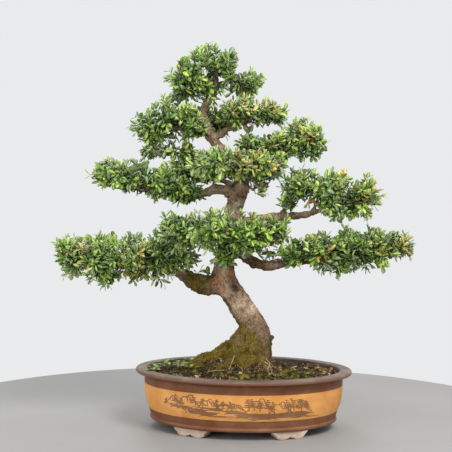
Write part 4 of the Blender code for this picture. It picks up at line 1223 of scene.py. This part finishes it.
def make_seedlings(leaf_look, stem_look):
    """Small bright seedlings at the soil's left end, each a stem with a few broad leaves."""
    rng = np.random.default_rng(53)
    low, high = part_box("seedling_clump")
    base, axis, normal, length, stems = [], [], [], [], []
    for _ in range(10):
        x = rng.uniform(low.x - 0.004, high.x + 0.016)
        y = rng.uniform(low.y - 0.024, high.y - 0.006)
        z = float(soil_height(x, y))
        tall = rng.uniform(0.005, 0.013)
        lean = rng.normal(0, 0.25, 2)
        top = np.array((x + lean[0] * tall, y + lean[1] * tall, z + tall))
        foot = np.array((x, y, z - 0.001))
        middle = (top + foot) / 2 + np.array((*rng.normal(0, 0.001, 2), 0))
        stems.append([foot, (foot + middle) / 2, middle, (middle + top) / 2, top])
        start = rng.uniform(0, TURN)
        for leaf in range(int(rng.integers(3, 6))):
            turn = start + leaf * 2.2
            axis.append((math.cos(turn), math.sin(turn), rng.uniform(0.15, 0.7)))
            normal.append((-0.3 * math.cos(turn), -0.3 * math.sin(turn), 1.0))
            base.append(top - UP * 0.001 * leaf)
            length.append(rng.uniform(0.0110, 0.0160))
    base, axis, normal, length, stems = map(np.array, (base, axis, normal, length, stems))
    count = len(base)
    width = length * rng.uniform(0.58, 0.75, count)
    fold, curl = rng.uniform(0.05, 0.25, count), rng.uniform(0.05, 0.3, count)
    colours = pick_colours(((122, 148, 22), (92, 122, 16), (150, 172, 40)), (3, 4, 2), count, rng)
    place_leaves("seedling_leaves", base, axis, normal, length, width, fold, curl, colours, leaf_look,
                 ("seedling_clump",))
    colours = pick_colours(((130, 150, 70), (120, 90, 60)), (2, 1), len(stems), rng)
    place_bits("seedling_stems", tubes(stems, np.full(stems.shape[:2], 0.0005)), colours, stem_look)


def make_fallen(leaf_look, chip_look):
    """A few fallen leaves on the soil, and chips of bark and pale stone."""
    rng = np.random.default_rng(59)
    count = 46
    spots = oval_scatter(count, rng, 0.012)
    spots[:, 2] += 0.0028
    turn = rng.uniform(0, TURN, count)
    axis = np.stack([np.cos(turn), np.sin(turn), rng.uniform(-0.25, 0.35, count)], 1)
    normal = UP + rng.normal(0, 0.3, (count, 3))
    length = rng.uniform(0.008, 0.013, count)
    fold, curl = rng.uniform(0, 0.3, count), rng.uniform(-0.2, 0.25, count)
    colours = pick_colours(((120, 140, 92), (150, 130, 70), (128, 88, 52), (150, 160, 120)), (3, 3, 3, 2),
                           count, rng)
    place_leaves("fallen_leaves", spots, axis, normal, length, length * 0.52, fold, curl, colours,
                 leaf_look)

    # The first chip is the large pale one at the front left
    count = 34
    shape, triangles = ball(2)
    spots = oval_scatter(count, rng, 0.012)
    spots[0] = (POT_X - 0.068, POT_Y - 0.086, 0.0)
    spots[0, 2] = soil_height(*spots[0, :2])
    half = rng.uniform(0.0012, 0.0034, (count, 3)) * np.array((1.5, 1.0, 0.6))
    half[0] = (0.0062, 0.0026, 0.0024)
    local = shape[None] * rng.uniform(0.85, 1.15, (count, len(shape), 1)) * half[:, None]
    chips = stones(local, triangles, spots, 0.0018, rng)
    colours = pick_colours(((176, 160, 138), (120, 88, 60), (160, 140, 120)), (3, 4, 2), count, rng)
    colours[0] = linear(206, 160, 132)
    place_bits("chips", chips, colours, chip_look, smooth=False)


# ---------------------------------------------------------------- stage, light and camera

def make_stage():
    """A pale round table, pale surroundings and soft studio light."""
    mesh = bpy.data.meshes.new("floor")
    form = bmesh.new()
    bmesh.ops.create_circle(form, cap_ends=True, segments=160, radius=0.60)
    form.to_mesh(mesh)
    form.free()
    look = Look("floor", Roughness=0.6, Specular_IOR_Level=0.2)
    look.finish(look.mix((0.29, 0.285, 0.28), (0.32, 0.315, 0.31), look.between(look.noise(3.0), 0.3, 0.7)))
    mesh.materials.append(look.material)
    add_object("floor", mesh)
    world = bpy.data.worlds.new("studio")
    bpy.context.scene.world = world
    world.use_nodes = True
    sky = world.node_tree.nodes["Background"].inputs
    sky["Color"].default_value = (0.86, 0.87, 0.88, 1.0)
    sky["Strength"].default_value = 0.95
    for name, spot, size, energy, colour in (
            ("key", (0.9, -1.4, 1.8), 0.9, 44.0, (1.0, 0.98, 0.94)),
            ("fill", (-1.1, -1.7, 0.7), 1.2, 14.0, (0.97, 0.99, 1.0)),
            ("back", (-0.4, 1.6, 1.8), 1.2, 16.0, (1.0, 1.0, 1.0))):
        light = bpy.data.lights.new(name, "AREA")
        light.shape = "DISK"
        light.size = size
        light.energy = energy
        light.color = colour
        lamp = add_object(name, light)
        lamp.location = spot
        aim = Vector((0.0, 0.0, 0.32)) - Vector(spot)
        lamp.rotation_euler = aim.to_track_quat("-Z", "Y").to_euler()


def make_camera():
    """A level view at the height of the lowest branches, from a little to the right."""
    turn, roll = math.radians(3.5), math.radians(0.57)
    distance, shift_left = 1.450, 0.0309
    camera = bpy.data.cameras.new("camera")
    camera.sensor_width = 36.0
    camera.lens = 70.0
    obj = add_object("camera", camera)
    back = Vector((math.sin(turn), -math.cos(turn), 0.0))
    right = Vector((math.cos(turn), math.sin(turn), 0.0))
    obj.location = Vector((POT_X, POT_Y, 0.328)) + distance * back - shift_left * right
    facing = (Matrix.Rotation(turn, 4, "Z") @ Matrix.Rotation(math.radians(90), 4, "X")
              @ Matrix.Rotation(roll, 4, "Z"))
    obj.rotation_euler = facing.to_euler()
    bpy.context.scene.camera = obj
    bpy.context.scene.view_settings.view_transform = "Standard"


# ---------------------------------------------------------------- build

make_pot()
make_landscape()
make_feet()
dress_hidden_parts()
wood, wood_tree = make_wood()
grain_look = bits_look("grain", 0.95, 700.0)
twig_look = bits_look("twig", 0.85, 500.0)
moss_look = bits_look("moss", 0.95, 900.0)
leaf_look = make_leaf_look()
make_soil()
make_grains(grain_look)
make_litter(twig_look)
make_rootlets(twig_look, wood_tree)
make_moss(moss_look)
make_trunk_moss(moss_look, wood)
for order, node_name in enumerate(sorted(name for name in nodes if name.startswith("leaves_"))):
    pad = node_name[len("leaves_"):]
    pad_rng = np.random.default_rng(100 + order)
    shoots = lay_shoots(pad, pad_rng)
    make_foliage(pad, *shoots, leaf_look, pad_rng)
    make_twigs(pad, *shoots[:2], twig_look, pad_rng)
make_seedlings(leaf_look, twig_look)
make_fallen(leaf_look, grain_look)
make_stage()
make_camera()
